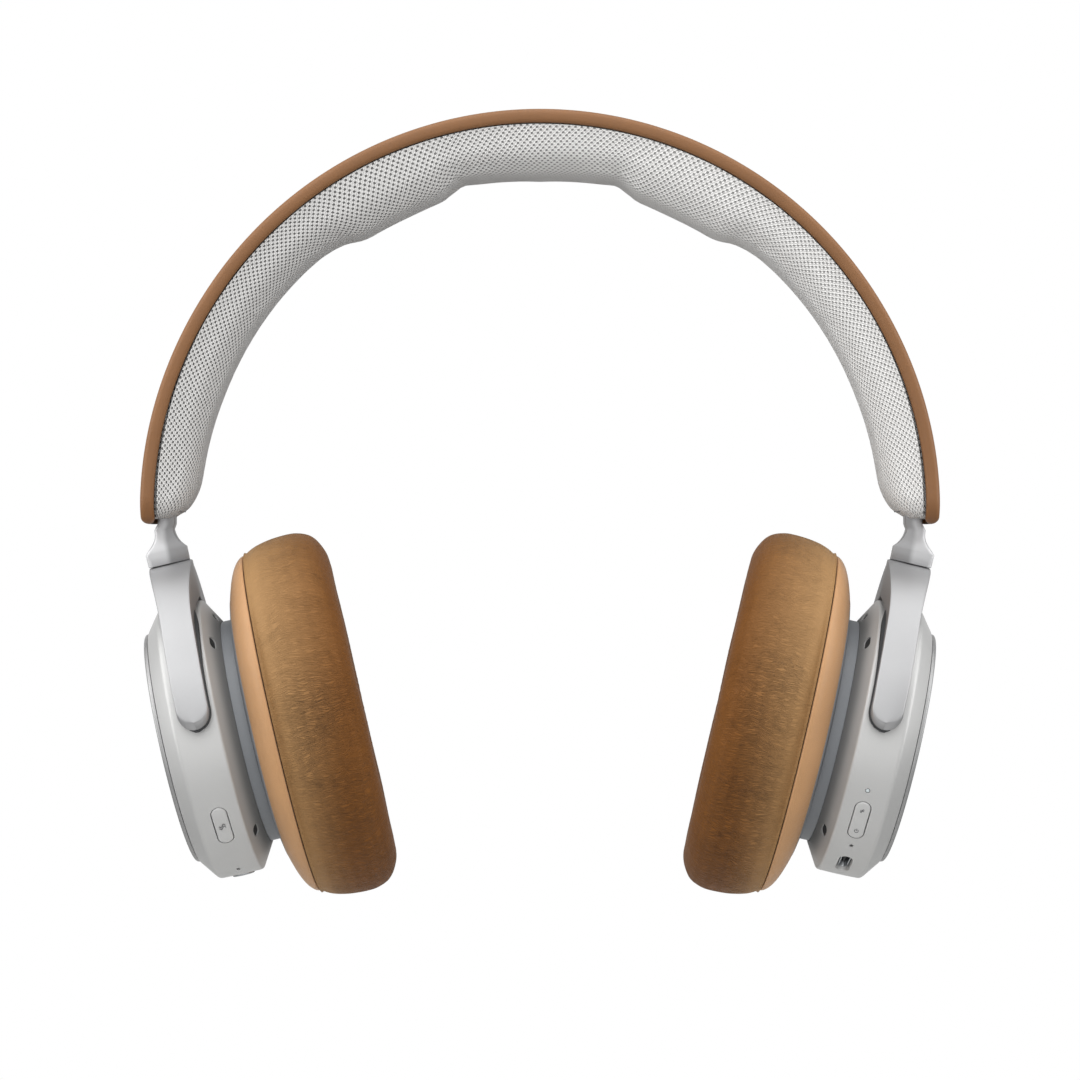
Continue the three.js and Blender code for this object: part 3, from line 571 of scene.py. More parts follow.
def band_angles(end, count):
    """Angles along the band, closer together at its ends."""
    t = np.linspace(-1, 1, count)
    angles = end * (t + 0.30 * np.sin(np.pi * t) / np.pi)
    last = end - np.degrees(1.8 / BAND_RADIUS) * (1 - np.sin(np.linspace(0, np.pi / 2, 9)))
    return np.concatenate([-last[::-1], angles[np.abs(angles) < last[0] - 0.1], last])


def band_cover():
    angles = band_angles(BAND_END, 261)
    left = np.radians(BAND_END - np.abs(angles)) * BAND_RADIUS
    thin = np.sqrt(np.clip(1 - np.clip(1 - left / 1.7, 0, 1) ** 2, 0.02, 1))
    half = band_half_width(angles) - end_inset(angles, BAND_END, BAND_CORNER) * 0.8
    pocket = half - 2.4
    crown = BAND_RADIUS + BAND_CROWN
    outline = [
        (-half, BAND_LIP_RADIUS, 1.5), (-half, BAND_RADIUS + 0.1, 1.9), (0 * half, crown, 8.0),
        (half, BAND_RADIUS + 0.1, 1.9), (half, BAND_LIP_RADIUS, 1.5), (pocket, BAND_LIP_RADIUS, 0.3),
        (pocket, POCKET_RADIUS, 0.2), (-pocket, POCKET_RADIUS, 0.2), (-pocket, BAND_LIP_RADIUS, 0.3)]
    middle = (BAND_LIP_RADIUS + BAND_RADIUS) / 2
    y = np.stack([o[0] for o in outline], -1)
    radius = middle + (np.array([o[1] for o in outline]) - middle) * thin[:, None]
    radius += BAND_END_SPREAD * ease((np.abs(angles) - 55) / 35)[:, None]
    section = rounded(np.stack([y, radius], -1), [o[2] for o in outline], 7)
    grid = on_arc(angles[:, None], section[..., 0], section[..., 1])
    across = lengths(section[len(section) // 2])
    return skin("leather_cover", grid, (False, True), (np.radians(angles) * BAND_RADIUS, across))


def pad_section(angles, inset=0.0):
    """Points round the pad at each angle: front side, underside, rear side, then the hidden top."""
    half = band_half_width(angles) - 0.6 - end_inset(angles, PAD_END, PAD_CORNER) * 0.6 - inset
    low = curve(PAD_INNER, np.abs(angles)) + inset
    turn = np.linspace(0, np.pi, 41)[None, :]
    squareness = 2 / 3.6
    y = -half[:, None] * np.sign(np.cos(turn)) * np.abs(np.cos(turn)) ** squareness
    radius = PAD_TOP_RADIUS - (PAD_TOP_RADIUS - low)[:, None] * np.abs(np.sin(turn)) ** squareness
    top_y = half[:, None] * np.array([0.8, 0.79, 0.4, 0, -0.4, -0.79, -0.8])
    top = np.broadcast_to(PAD_TOP_RADIUS + PAD_TONGUE * np.array([0, 1, 1, 1, 1, 1, 0]), top_y.shape)
    return np.concatenate([y, top_y], 1), np.concatenate([radius, top], 1)


def head_pad():
    angles = band_angles(PAD_END, 221)
    y, radius = pad_section(angles, 0.35)
    grid = on_arc(angles[:, None], y, radius)
    held = (radius > PAD_TOP_RADIUS - 1.2) | (np.abs(angles) > PAD_END - 1.5)[:, None]
    grid = swell(grid, held, (False, True), pressure=1.6, cap=0.7)
    across = lengths(np.stack([y, radius], -1)[110])
    return skin("knitted_pad", grid, (False, True), (np.radians(angles) * 88, across))


# ---------- cloth ----------
def swell(grid, held, wrap, pressure, cap, slack=0.0, frames=14):
    """Cloth simulation of a closed cover under the push of its filling. Held points stay, and no point moves
    further than cap. It runs ten times larger than life, where the solver is steady."""
    rows, cols = grid.shape[:2]
    faces = quads(rows, cols, *wrap)[0].tolist()
    mesh = bpy.data.meshes.new("cover")
    mesh.from_pydata((grid.reshape(-1, 3) * MM * 10).tolist(), [], faces)
    cover = bpy.data.objects.new("cover", mesh)
    bpy.context.scene.collection.objects.link(cover)
    made = bmesh.new()
    made.from_mesh(mesh)
    bmesh.ops.recalc_face_normals(made, faces=made.faces)
    made.to_mesh(mesh)
    made.free()
    pins = cover.vertex_groups.new(name="held")
    pins.add(np.flatnonzero(held.ravel()).tolist(), 1.0, "REPLACE")
    cloth = cover.modifiers.new("cloth", "CLOTH")
    rules = cloth.settings
    rules.vertex_group_mass = "held"
    rules.effector_weights.gravity = 0
    rules.use_pressure = True
    rules.uniform_pressure_force = pressure
    rules.shrink_min = -slack
    rules.quality = 5
    rules.mass = 0.2
    rules.tension_stiffness = rules.compression_stiffness = 20
    rules.bending_stiffness = 0.4
    cloth.collision_settings.use_collision = False
    cloth.point_cache.frame_start = 1
    cloth.point_cache.frame_end = frames
    for step in range(1, frames + 1):
        bpy.context.scene.frame_set(step)
    graph = bpy.context.evaluated_depsgraph_get()
    shown = cover.evaluated_get(graph).to_mesh()
    moved = np.empty(rows * cols * 3)
    shown.vertices.foreach_get("co", moved)
    moved = moved.reshape(grid.shape) / (MM * 10) - grid
    bpy.context.scene.frame_set(1)
    bpy.data.objects.remove(cover)
    far = np.linalg.norm(moved, axis=-1, keepdims=True)
    return grid + moved * np.minimum(1, cap / np.maximum(far, 1e-9))


def wrinkle(shape, spacing, across, seed):
    """Smooth noise on a closed grid, from -1 to 1, with creases of a given number round and along."""
    field = np.fft.fft2(np.random.default_rng(seed).standard_normal(shape))
    rows = np.fft.fftfreq(shape[0]) * shape[0]
    cols = np.fft.fftfreq(shape[1]) * shape[1]
    band = np.exp(-((np.abs(rows)[:, None] - spacing) / (spacing * 0.35)) ** 2 - (cols[None, :] / across) ** 2)
    made = np.real(np.fft.ifft2(field * band))
    return made / np.abs(made).max()


def normals(grid):
    way = np.cross(
        np.roll(grid, -1, 0) - np.roll(grid, 1, 0), np.roll(grid, -1, 1) - np.roll(grid, 1, 1))
    return way / np.maximum(np.linalg.norm(way, axis=-1, keepdims=True), 1e-12)


# ---------- ear cushion ----------
def oval(section, steps):
    """A closed ring whose section is a list of (x, half depth, half height)."""
    turn = np.linspace(0, 2 * np.pi, steps, endpoint=False)[:, None]
    x, deep, high = np.asarray(section, float).T
    return np.stack([np.broadcast_to(x, (steps, len(x))), deep * np.sin(turn), high * np.cos(turn)], -1)


def cushion_section(inset):
    outer = [(22.46, 3.6), (23.1, 2.5), (25.6, 1.3), (29.4, 0.5), (33.8, 0.25), (36.6, 0.6), (39.3, 1.8),
             (41.6, 4.0), (42.9, 7.0), (43.3, 10.2), (43.0, 13.2)]
    inner = [(42.0, 3.2), (40.2, 1.1), (37.4, 0.2), (33, 0.0), (28, 0.0), (22.6, 0.2)]
    points = [(x - (inset if x > 40 else 0), CUSHION_HALF[0] - d - inset, CUSHION_HALF[1] - d - inset)
              for x, d in outer]
    points += [(x - (inset if x > 40 else 0), EAR_HALF[0] + d + inset, EAR_HALF[1] + d + inset)
               for x, d in inner]
    return points


def ear_cushion(side, seed):
    ring = oval(refine(np.array(cushion_section(0.5)), 3, 0), 132)
    x = ring[..., 0]
    x -= FRONT_FULLNESS * SIDES[side] * ring[..., 1] * ease((x - 23) / 18)
    outer = np.arange(ring.shape[1]) < 33
    held = (x < 22.7) | (~outer[None, :] & (x < 40))
    ring = swell(ring, held, (True, True), pressure=2.0, cap=0.8, slack=0.006)
    fine = refine(refine(ring, 5, 0), 3, 1)
    out = normals(fine)
    away = np.sum((fine - fine.mean((0, 1))) * out, -1).mean()
    if away < 0:
        out = -out
    rows, cols = fine.shape[:2]
    on_wall = ease((fine[..., 0] - 22.6) / 4)
    on_wall = on_wall * (np.arange(cols) < cols * 0.72)[None, :]
    folds = wrinkle((rows, cols), 220, 16, seed) * 0.045 + wrinkle((rows, cols), 130, 10, seed + 1) * 0.025
    swells = wrinkle((rows, cols), 9, 3, seed + 2) * 0.12
    fine = fine + out * ((folds + swells) * on_wall)[..., None]
    around = lengths(fine[:, cols // 4])
    across = lengths(fine[0])
    obj = skin(f"ear_cushion_cover_{side}", on_cup(fine, side), (True, True), (around, across))
    return obj


def skirt_outline(profile):
    """Turns (x, half height, cut) into the oval's (x, half depth, half height): round at the collar, oval outside."""
    return [(x, high - 4.3 * ease((high - 28) / 15), high) for x, high, _ in profile], [cut for *_, cut in profile]


def cushion_skirt(side):
    """Moulded leather ring between the plate and the seam."""
    shape, cuts = skirt_outline([(16.95, 33.6, 0.2), (17.3, 35.0, 1.2), (18.4, 38.4, 2.2), (19.7, 41.0, 2.2),
                                 (21.2, 42.55, 1.4), (22.3, 42.9, 0.5), (22.35, 41.6, 0.3)])
    back, back_cuts = skirt_outline([(17.9, 33.6, 0.1)])
    shape += [(22.35, *EAR_HALF), (18.0, *EAR_HALF), (18.0, 27.6, 27.6)] + back
    section = rounded(np.array(shape), cuts + [0.2] * 3 + back_cuts, 5)
    return skin(f"cushion_skirt_{side}", on_cup(oval(section, 240), side), (True, True))


def cushion_plate(side):
    """Blue-grey plate of the cushion, beside the collar."""
    shape, cuts = skirt_outline([(16.1, 27.75, 0.2), (16.3, 30.6, 1.0), (16.85, 33.5, 0.25), (17.8, 33.5, 0.1),
                                 (17.8, 27.75, 0.1)])
    return skin(f"cushion_plate_{side}", on_cup(oval(rounded(np.array(shape), cuts, 4), 192), side), (True, True))


# ---------- arm ----------
def adjustment_arm(side):
    """Bar that follows the band's arc, a neck, and a foot that flares out to sharp corners."""
    rows = []
    for angle in np.linspace(67, 90, 24):
        turn = math.radians(angle)
        rows.append((-ARM_RADIUS * math.sin(turn), BAND_CENTRE_Z + ARM_RADIUS * math.cos(turn),
                     turn - math.pi / 2, 2.3, 5.9))
    for z, shift, half in [(-83.5, 0.2, 2.2), (-84.2, 0.3, 2.15), (-86.3, 0.33, 2.15), (-87.1, 0.65, 2.22)]:
        rows.append((-ARM_RADIUS - shift, z, 0.0, half, 6.0))
    flare = [(53.6, 2.36), (52.9, 2.38), (52.2, 2.5), (51.5, 2.74), (50.9, 3.06), (50.3, 3.46), (49.8, 3.9),
             (49.3, 4.38), (48.8, 4.86), (48.42, 5.22), (48.3, 5.3), (47.4, 5.28), (FOOT_BOTTOM_Z + 0.12, 5.25),
             (FOOT_BOTTOM_Z, 5.15)]
    for z, half in flare:
        down = ease((53.6 - z) / 5.5)
        x, _, height = from_cup([YOKE_X + 0.25 - 0.4 * down, 0, z])
        rows.append((x, height, CUP_TILT * ease((55 - z) / 3), half, 6.1 + 1.6 * down - (0.1 if half == 5.15 else 0)))
    grid = []
    for x, z, lean, half, deep in rows:
        fall = half * (1 - ARM_RIDGE) * ARM_FALL
        front = [(-half, 0.14 * deep - deep), (-0.85 * half, 0.12 * half - deep), (ARM_RIDGE * half, -deep),
                 (half, fall - deep)]
        corners = front + [(across * 0.8, -y) for across, y in front[::-1]]
        cuts = [0.35, 0.6, 0.9, 0.35]
        across, y = (rounded(np.array(corners) * [1, SIDES[side]], cuts + cuts[::-1], 6)).T
        grid.append(np.stack([x + across * math.cos(lean), y, z + across * math.sin(lean)], -1))
    # Side of each column, for the painted light on the outer facet and the painted shade on the facet towards the
    # ear.
    painted_shade_side = [-1.0] * 14 + list(np.linspace(-1, 1, 7)) + [1.0] * 14 + list(np.linspace(1, -1, 7)) + [-1.0] * 15
    return skin(f"slider_arm_{side}", sided(np.array(grid), side), (False, True), (np.arange(len(grid)), painted_shade_side))


# ---------- yoke ----------
def yoke(side):
    """Arch over the housing. Each tine ends in a round that slopes back behind a smaller round face."""
    pivot = math.degrees(math.acos(PIVOT_Z / 37.3))
    turn = np.radians(np.linspace(0, 90, 19)[1:])
    tine = 37.3 * np.radians(1)               # millimetres a degree
    sweep = np.linspace(-pivot, pivot, 151)
    base_end = pivot + 0.7 / tine + 4.5 * np.sin(turn) / tine
    face_end = pivot - 0.4 / tine + 3.95 * np.sin(turn) / tine
    base = np.concatenate([-base_end[::-1], sweep * (1 + 0.7 / tine / pivot), base_end])
    face = np.concatenate([-face_end[::-1], sweep * (1 - 0.4 / tine / pivot), face_end])
    narrow = np.concatenate([np.cos(turn)[::-1], np.ones(len(sweep)), np.cos(turn)])
    near_end = ease((np.abs(base) - 66) / 12)

    def half_width(angle, extra=0.0):
        lean = np.clip(angle * SIDES[side] / 12, -1, 1)
        crown = 1.1 - 0.65 * lean * (1.5 - 0.5 * lean ** 2)
        return (3.95 + crown * ease(1 - np.abs(angle) / YOKE_SPREAD) + extra) * narrow

    def top(angle):
        rise = YOKE_TOP_Z + 0.6 - YOKE_TINE_RADIUS
        bulge = YOKE_TINE_RADIUS + rise * ease(1 - np.abs(angle) / 60)
        return np.minimum(YOKE_TOP_Z / np.cos(np.radians(angle)), bulge)

    corners = [
        (half_width(base, 0.1), base, YOKE_INNER_RADIUS + 0 * base, 0.25),
        (half_width(base, 0.1), base, top(base) - 0.3 - 0.9 * near_end, 0.3),
        (half_width(face, -0.05), face, top(face), 0.45),
        (-0.8 * narrow, face, top(face) + 0.3, 3.0),
        (-half_width(face, -0.15), face, top(face), 0.5),
        (-half_width(base), base, top(base) - 0.35 - 0.85 * near_end, 0.35),
        (-half_width(base), base, YOKE_INNER_RADIUS + 0 * base, 0.25)]
    points = []
    for across, angle, radius, _ in corners:
        a = np.radians(angle)
        points.append(np.stack([YOKE_X + across, radius * np.sin(a), radius * np.cos(a)], -1))
    section = rounded(np.stack(points, 1), [c[3] for c in corners], 5)
    # Columns that take the painted shade: the wall towards the ear.
    painted_shade_side = [1.0] * 12 + [0.0] * 30 + [1.0]
    return skin(f"yoke_arch_{side}", on_cup(section, side), (False, True), (np.arange(len(section)), painted_shade_side))


def yoke_painted_shadow(side):
    """Dark strip painted as the shadow in the gap under the tines, a little wider than they are on the ear's side."""
    angle = np.linspace(-84.6, 84.6, 141)
    a = np.radians(angle)
    grow = ease((np.abs(angle) - 12) / 26)
    inner, outer = YOKE_INNER_RADIUS - 0.25, YOKE_INNER_RADIUS + 1.1
    ends = np.sqrt(np.clip(1 - np.clip((np.abs(angle) - 76.6) / 8, 0, 1) ** 2, 0.02, 1))
    ear_side = (3.0 + 1.95 * grow - 0.55 * ease((np.abs(angle) - 38) / 30)) * ends
    far = [ear_side, ear_side, -3.0 * ends, -3.0 * ends]
    points = [np.stack([YOKE_X + x, radius * np.sin(a), radius * np.cos(a)], -1)
              for x, radius in zip(far, (inner, outer, outer, inner))]
    section = rounded(np.stack(points, 1), 0.15, 2)
    return skin(f"yoke_painted_shadow_{side}", on_cup(section, side), (False, True))


# ---------- controls ----------
def on_flank(side, angle, right, down, radius, x=YOKE_X):
    """A place on the flank as seen from the front: towards the viewer's right, and down along the flank."""
    front = -SIDES[side]
    turn = np.radians(angle) + np.asarray(down) / HOUSING_RADIUS
    parts = np.broadcast_arrays(x - front * np.asarray(right), front * radius * np.cos(turn), -radius * np.sin(turn))
    return np.stack(parts, -1)


def pill(length, width, steps=14):
    """Outline of a slot, as (across, along) points."""
    half = (length - width) / 2
    turn = np.linspace(0, np.pi, steps)
    arc = np.stack([np.cos(turn), np.sin(turn)], -1) * width / 2
    return np.concatenate([arc + [0, half], -arc - [0, half]])


def plug(name, side, angle, levels, x=YOKE_X):
    """A slot-shaped solid on the flank, from (length, width, radius) levels."""
    rings = [on_flank(side, angle, *pill(length, width).T, radius, x) for length, width, radius in levels]
    return skin(name, on_cup(np.array(rings), side), (False, True))


def button(side):
    length, width = BUTTON_SIZE
    top = BUTTON_TOP_RADIUS
    levels = [(length, width, 33.0), (length, width, top - 0.24), (length - 0.16, width - 0.16, top - 0.08),
              (length - 0.4, width - 0.4, top), (length - 1.6, width - 1.6, top + 0.02),
              (length - width + 0.5, 0.5, top + 0.03)]
    return plug(f"press_button_{side}", side, BUTTON_ANGLE[side], levels)


def mark(name, side, strokes, angle):
    """Thin printed lines on a button, each a list of (right, down) points."""
    made, faces = [], []
    for stroke in strokes:
        line = np.array(stroke, float)
        way = np.gradient(line, axis=0)
        way /= np.linalg.norm(way, axis=1, keepdims=True)
        aside = np.stack([-way[:, 1], way[:, 0]], -1) * 0.075
        for radius in (BUTTON_TOP_RADIUS - 0.02, BUTTON_TOP_RADIUS + 0.045):
            for edge in (line - aside, line + aside):
                made.append(on_flank(side, angle, *edge.T, radius))
        start = sum(len(m) for m in made[:-4])
        ring = np.array([0, 1, 3, 2]) * len(line) + start
        for k in range(len(line) - 1):
            for a in range(4):
                b = (a + 1) % 4
                faces.append((ring[a] + k, ring[b] + k, ring[b] + k + 1, ring[a] + k + 1))
        faces += [tuple(ring), tuple(ring[::-1] + len(line) - 1)]
    return solid(name, on_cup(np.concatenate(made), side), faces)


def wave(middle, size, phase=0.0):
    t = np.linspace(-1, 1, 17)
    return [(size * 0.5 * k, middle - size * 0.28 * math.sin(math.pi * k + phase)) for k in t]


def arc_line(middle, radius, start, end):
    turn = np.radians(np.linspace(start, end, 21))
    return [(radius * math.sin(t), middle - radius * math.cos(t)) for t in turn]


# ---------- housing ----------
def housing(side):
    inner = HOUSING_RADIUS - HOUSING_WALL
    profile = [
        (HOUSING_OUTER_X, 28.2, 0.1), (HOUSING_OUTER_X, 29.6, 0.25), (FLANK_START_X, HOUSING_RADIUS - 0.12, 0.7),
        (4.2, HOUSING_RADIUS + 0.03, 2.5), (FLANK_END_X, HOUSING_RADIUS - 0.06, 0.55),
        (HOUSING_EAR_X, COLLAR_RADIUS + 0.4, 0.3), (HOUSING_EAR_X, 24.8, 0.1), (HOUSING_EAR_X - 0.9, 24.8, 0.1),
        (HOUSING_EAR_X - 0.9, COLLAR_RADIUS - 0.6, 0.2), (FLANK_END_X - 0.4, inner, 0.4),
        (FLANK_START_X + 0.3, inner, 0.4), (HOUSING_OUTER_X + 1.2, 28.2, 0.2)]
    body = lathe([p[:2] for p in profile], [p[2] for p in profile], 256, 4)
    place = (np.arange(257) / 256, np.append(body[0, :, 0], body[0, 0, 0]))
    obj = skin(f"cup_housing_{side}", on_cup(body, side), (True, True), place)
    length, width = BUTTON_SIZE
    gap = 0.19
    cutters = [plug("cutter", side, BUTTON_ANGLE[side],
                    [(length + 2 * gap, width + 2 * gap, r) for r in (30.5, 36)])]
    cutters.append(plug("cutter", side, MIC_ANGLE[side], [(*MIC_SIZE[side], r) for r in (30.5, 36)]))
    holes = []
    if side == "right":
        cutters.append(plug("cutter", side, USB_ANGLE, [(*USB_SIZE, 30.5), (*USB_SIZE, 34.1),
                                                        (USB_SIZE[0] + 0.8, USB_SIZE[1] + 0.8, 35.0)]))
        holes.append((LIGHT_ANGLE, 0.6))
    else:
        holes.append((90.0, 3.05))
    cutters += [plug("cutter", side, angle, [(2 * r + 0.01, 2 * r, 30.5), (2 * r + 0.01, 2 * r, 36)])
                for angle, r in holes]
    for above in (VENT_ANGLE, -VENT_ANGLE, 180 - VENT_ANGLE, 180 + VENT_ANGLE):
        cutters.append(vent_cutter(side, above))
    cutters.append(vent_cutter(side, 90 - 9 * SIDES[side], 1.6))
    for front in (-1, 1):
        turn = np.linspace(0, 2 * np.pi, 48, endpoint=False)
        ring = [np.stack([YOKE_X + 1.9 * np.cos(turn), np.full(48, front * y), PIVOT_Z + 1.9 * np.sin(turn)], -1)
                for y in (29, 38)]
        cutters.append(skin("cutter", on_cup(np.array(ring), side), (False, True)))
    return cut(obj, cutters)


def vent_cutter(side, above, slide=0.0):
    """A slot at right angles to the bevel, at an angle above the front, moved towards the collar by slide."""
    slope = math.radians(56.7)
    turn = math.radians(above)
    out = np.array([0, -math.cos(turn), math.sin(turn)])
    along = np.array([0, math.sin(turn), math.cos(turn)])
    ear = np.array([1.0, 0, 0])
    axis = ear * math.sin(slope) + out * math.cos(slope)
    across = ear * math.cos(slope) - out * math.sin(slope)
    start = 7.6 * ear + 28.6 * out + slide * across
    rings = [[start + axis * far + across * a + along * b for a, b in pill(*VENT_SIZE)] for far in (1.2, 8.5)]
    return skin("cutter", on_cup(np.array(rings), side), (False, True))


def vent_backing(side):
    """Dark ring within the bevel's wall, seen through the vents."""
    profile = [(9.84, 33.35), (12.36, 29.13), (11.93, 28.87), (9.41, 33.1)]
    return skin(f"vent_backing_{side}", on_cup(lathe(profile, 0.1, 128, 2), side), (True, True))


def hole_backing(side):
    """Dark floor of the microphone's hole."""
    return plug(f"microphone_recess_{side}", side, MIC_ANGLE[side], [(2.4, 1.1, 33.2), (2.4, 1.1, 34.0)])


def touch_disc(side):
    back = HOUSING_OUTER_X - GAP / 2
    face = HOUSING_OUTER_X - GAP - 0.9
    profile = [(face + 0.25, 0, 0), (face + 0.05, 18, 6), (face, 27.4, 1.2), (face + 0.02, DISC_RADIUS - 0.35, 0.3),
               (face + 0.4, DISC_RADIUS, 0.35), (back, DISC_RADIUS, 0.12), (back, 0, 0)]
    outline = rounded([p[:2] for p in profile], [p[2] for p in profile], 5)
    grid = lathe([p[:2] for p in profile], [p[2] for p in profile], 256, 5)
    across = np.append(outline[:, 1], outline[0, 1])
    return skin(f"touch_cap_{side}", on_cup(grid, side), (True, True), (np.arange(257) / 256 * 180, across))


def collar(side):
    """Blue-grey ring, and the plate that holds the driver."""
    start = HOUSING_EAR_X + 0.02
    profile = [(start, 20.6), (start, COLLAR_RADIUS), (COLLAR_END_X + 0.68, COLLAR_RADIUS),
               (COLLAR_END_X + 0.68, 24.5), (COLLAR_END_X - 0.5, 24.5),
               (COLLAR_END_X - 0.5, 20.6)]
    return skin(f"cup_collar_{side}", on_cup(lathe(profile, 0.1, 192, 3), side), (True, True))


def speaker_grille(side):
    """Woven cloth over the driver, slightly domed."""
    rings = []
    for share in np.linspace(1, 0.02, 24):
        dome = 17.3 + 1.1 * (1 - share ** 2) + 0.05 * math.cos(share * 40) * share
        rings.append(oval([(dome, (EAR_HALF[0] - 0.15) * share, (EAR_HALF[1] - 0.15) * share)], 160)[:, 0])
    back = [oval([(17.2, 19.3 * s, 26.3 * s)], 160)[:, 0] for s in (0.02, 1)]
    return skin(f"speaker_grille_{side}", on_cup(np.array(rings + back), side), (True, True))


def usb_inlet():
    """Steel shell with a tongue inside."""
    length, width = USB_SIZE[0] - 0.6, USB_SIZE[1] - 0.6
    shell = plug("usb_shell", "right", USB_ANGLE, [
        (length, width, 27), (length, width, 33.5), (length - 0.15, width - 0.15, 33.6),
        (length - 0.6, width - 0.6, 33.6), (length - 0.7, width - 0.7, 33.45), (length - 0.7, width - 0.7, 28),
        (length - width, 0.05, 28)])
    tongue = plug("usb_tongue", "right", USB_ANGLE, [
        (6.2, 0.7, 28), (6.2, 0.7, 32.4), (6.0, 0.5, 32.6), (5.6, 0.1, 32.6)])
    return shell, tongue


def jack_inlet():
    """Turned barrel of the audio jack, with a bevelled mouth."""
    profile = [(21, 1.85, 0.1), (21, 2.85, 0.2), (34.7, 2.85, 0.25), (34.9, 2.3, 0.2), (34.3, 1.8, 0.1),
               (31, 1.75, 0.1), (30.7, 1.95, 0.1), (23, 1.95, 0.1)]
    outline = rounded([p[:2] for p in profile], [p[2] for p in profile], 3)
    turn = np.linspace(0, 2 * np.pi, 64, endpoint=False)[:, None]
    far, radius = outline.T
    grid = np.stack(np.broadcast_arrays(YOKE_X + radius * np.cos(turn), radius * np.sin(turn), -far + 0 * turn), -1)
    return skin("jack_barrel", on_cup(grid, "left"), (True, True))


# ---------- assembly ----------
cover = finish_piece(band_cover(), LEATHER.material, "headband", ["band_cover"], 45)
pad = finish_piece(head_pad(), KNIT.material, "headband", ["head_pad"], 60)

for seed, side in enumerate(SIDES):
    cup = f"cup_{side}"
    cushion = finish_piece(ear_cushion(side, 40 + 10 * seed), LAMBSKIN.material, cup,
                           [f"ear_cushion_{side}"], 80)
    finish_piece(cushion_skirt(side), SKIRT.material, cup, [f"cushion_carrier_{side}"], 50)
    finish_piece(cushion_plate(side), COLLAR.material, cup, sharp=50)
    finish_piece(vent_backing(side), DARK.material, cup, sharp=50)
    finish_piece(adjustment_arm(side), ALUMINIUM.material, f"arm_{side}",
                 [f"adjustment_arm_{side}"], 40)
    finish_piece(yoke(side), ALUMINIUM.material, f"yoke_{side}", [f"yoke_{side}"], 40)
    # Painted shadow: a dark strip in the gap under the tines.
    finish_piece(yoke_painted_shadow(side), DARK.material, f"yoke_{side}")
    finish_piece(housing(side), HOUSING.material, cup, [f"housing_{side}"], 30)
    finish_piece(hole_backing(side), DARK.material, cup)
    finish_piece(touch_disc(side), DISC.material, cup, [f"touch_disc_{side}"], 30)
    finish_piece(collar(side), COLLAR.material, cup, [f"baffle_{side}"], 30)
    finish_piece(speaker_grille(side), CLOTH.material, cup, [f"speaker_cloth_{side}"], 40)
    finish_piece(button(side), BUTTONS.material, f"button_{side}", [f"button_{side}"], 50)

shell, tongue = usb_inlet()
finish_piece(shell, STEEL.material, "cup_right", ["usb_c_socket"])
finish_piece(tongue, DARK.material, "cup_right")
finish_piece(jack_inlet(), STEEL.material, "cup_left", ["audio_jack_socket"])
marks = {
    "left": [wave(-0.3, 1.6), wave(0.35, 1.6)],
    "right": [wave(-3.35, 0.9), wave(-2.95, 0.9), arc_line(3.1, 0.48, 35, 325), [(0, 2.4), (0, 2.75), (0, 3.1)]],
}
for side, strokes in marks.items():
    finish_piece(mark(f"button_mark_{side}", side, strokes, BUTTON_ANGLE[side]), INK.material,
                 f"button_{side}")

CAD_LOOKS = {
    "spring_steel_band": STEEL, "band_cable": DARK, "pad_carrier": DARK, "slider_guide": DARK, "detent_spring": STEEL,
    "swivel_pin": STEEL, "swivel_washer": DARK, "pivot_pin": STEEL, "touch_board": BOARD, "main_board": BOARD,
    "driver_magnet": MAGNET, "driver_basket": DARK, "driver_diaphragm": CONE, "baffle_screw": STEEL,
    "cushion_clip_ring": DARK, "button_switch": DARK, "microphone": BRASS, "status_light_pipe": LIGHT,
    "battery_cell": WRAP,
}
for name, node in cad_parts.items():
    for start, look in CAD_LOOKS.items():
        if name.startswith(start):
            for place in node.material_slots:
                place.material = look.material


# ---------- stage, light and camera ----------
def floor():
    """A round pale floor that fades out at its edge."""
    look = Look("floor", "cacac9", 0.9)
    far = look.node("VectorMath", {0: look.place}, operation="LENGTH").outputs["Value"]
    look.feed(look.shader.inputs["Alpha"], look.span(far, 0.10, 0.26, 1.0, 0.0))
    look.base(look.paint(look.noise(8, detail=2), 0.99, 1.0))
    turn = np.linspace(0, 2 * np.pi, 96, endpoint=False)
    rings = [np.stack([r * np.cos(turn), r * np.sin(turn), 0 * turn], -1) for r in (1, 100, 190, 280)]
    faces = quads(4, 96, False, True)[0].tolist() + [list(range(96))]
    obj = solid("floor", np.array(rings), faces)
    obj.location.z = -0.275
    obj.data.materials.append(look.material)


def softbox(name, place, aim, size, brightness):
    """A plain rectangular light; brightness is what a white wall beside the object would be at 1."""
    data = bpy.data.lights.new(name, "AREA")
    data.shape = "RECTANGLE"
    data.size, data.size_y = size
    data.energy = brightness * math.pi * size[0] * size[1]
    obj = bpy.data.objects.new(name, data)
    obj.location = place
    obj.rotation_euler = (Vector(aim) - Vector(place)).to_track_quat("-Z", "Y").to_euler()
    bpy.context.scene.collection.objects.link(obj)


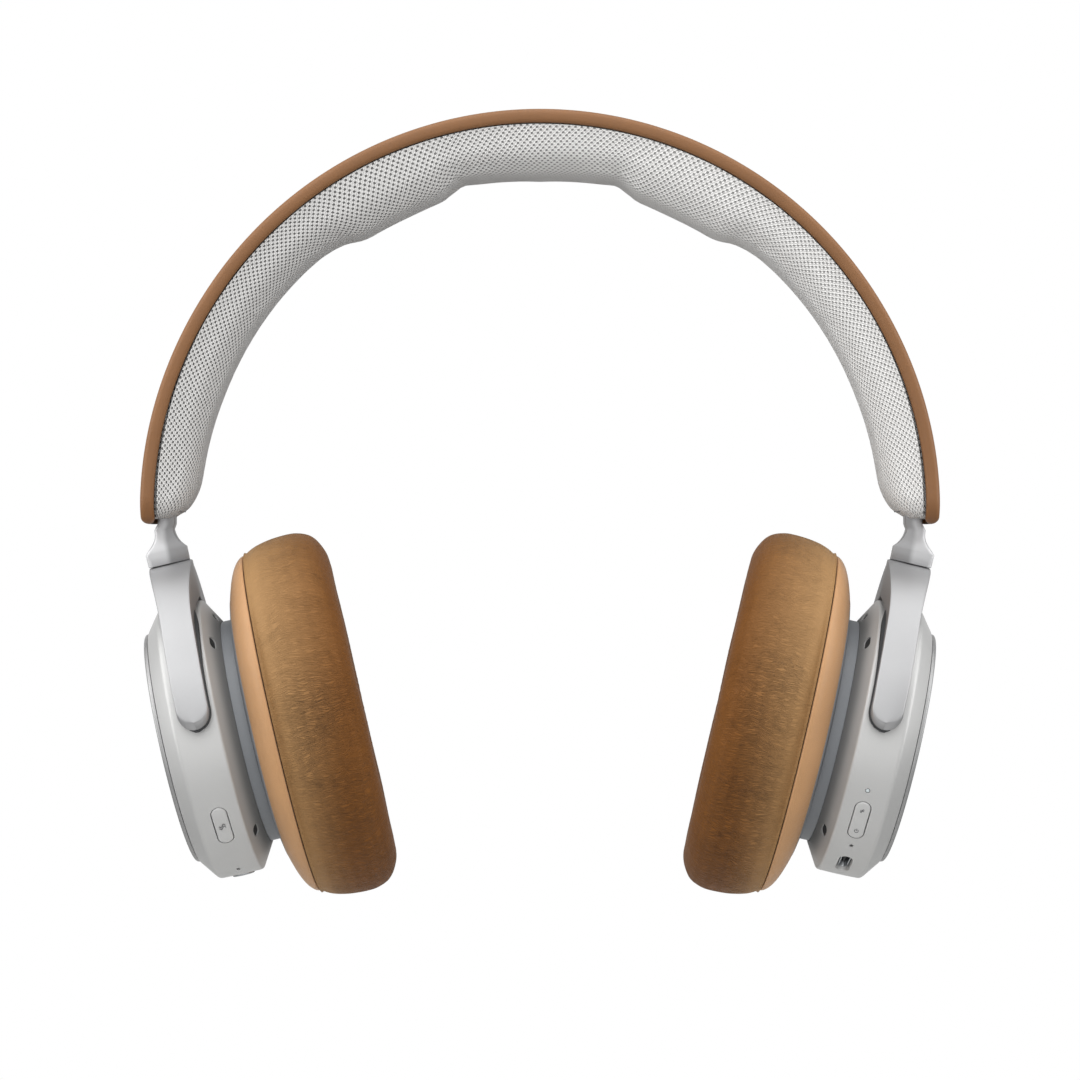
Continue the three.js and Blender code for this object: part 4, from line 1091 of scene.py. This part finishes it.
def backdrop():
    """White behind the object for the camera, softer grey for what the object reflects."""
    world = bpy.data.worlds.new("studio")
    bpy.context.scene.world = world
    world.use_nodes = True
    tree = world.node_tree
    tree.nodes.clear()
    out = tree.nodes.new("ShaderNodeOutputWorld")
    mix = tree.nodes.new("ShaderNodeMixShader")
    path = tree.nodes.new("ShaderNodeLightPath")
    seen = tree.nodes.new("ShaderNodeBackground")
    seen.inputs["Strength"].default_value = 1.0
    seen.inputs["Color"].default_value = (1, 1, 1, 1)
    lit = tree.nodes.new("ShaderNodeBackground")
    lit.inputs["Color"].default_value = (1, 1, 1, 1)
    place = tree.nodes.new("ShaderNodeTexCoord")
    split = tree.nodes.new("ShaderNodeSeparateXYZ")
    half = tree.nodes.new("ShaderNodeMath")
    half.operation = "MULTIPLY_ADD"
    half.inputs[1].default_value = half.inputs[2].default_value = 0.5
    ramp = tree.nodes.new("ShaderNodeValToRGB")
    while len(ramp.color_ramp.elements) < len(WORLD):
        ramp.color_ramp.elements.new(0.5)
    for element, (depth, level) in zip(ramp.color_ramp.elements, WORLD):
        element.position = (depth + 1) / 2
        element.color = (level, level, level, 1)
    tree.links.new(place.outputs["Generated"], split.inputs[0])
    tree.links.new(split.outputs["Y"], half.inputs[0])
    tree.links.new(half.outputs[0], ramp.inputs[0])
    tree.links.new(ramp.outputs["Color"], lit.inputs["Color"])
    tree.links.new(path.outputs["Is Camera Ray"], mix.inputs[0])
    tree.links.new(lit.outputs[0], mix.inputs[1])
    tree.links.new(seen.outputs[0], mix.inputs[2])
    tree.links.new(mix.outputs[0], out.inputs["Surface"])


# Brightness of the room that the object reflects, from in front (-1) to behind (1).
WORLD = [(-1, 0.6), (-0.5, 0.55), (0, 0.2), (0.75, 0.15), (0.93, 0.8)]
floor()
backdrop()
softbox("top", (0, -0.1, 0.85), (0, 0, -0.1), (1.6, 1.0), 2.1)
softbox("high", (-0.25, -1.05, 0.75), (0, 0, -0.1), (1.5, 0.8), 1.7)
softbox("front", (-0.1, -1.5, -0.1), (0, 0, -0.1), (1.6, 1.0), 1.0)
softbox("left", (-0.6, -0.1, 0.08), (0, 0, -0.12), (0.45, 0.7), 3.0)
softbox("right", (0.6, -0.1, 0.08), (0, 0, -0.12), (0.45, 0.7), 2.7)

camera = bpy.data.cameras.new("camera")
camera.sensor_width = 36
camera.lens = 133.33
camera.clip_start = 0.01
viewer = bpy.data.objects.new("camera", camera)
viewer.location = (0, -1.0, -0.09035)
viewer.rotation_euler = (math.pi / 2, 0, 0)
bpy.context.scene.collection.objects.link(viewer)
bpy.context.scene.camera = viewer
bpy.context.scene.view_settings.view_transform = "Standard"
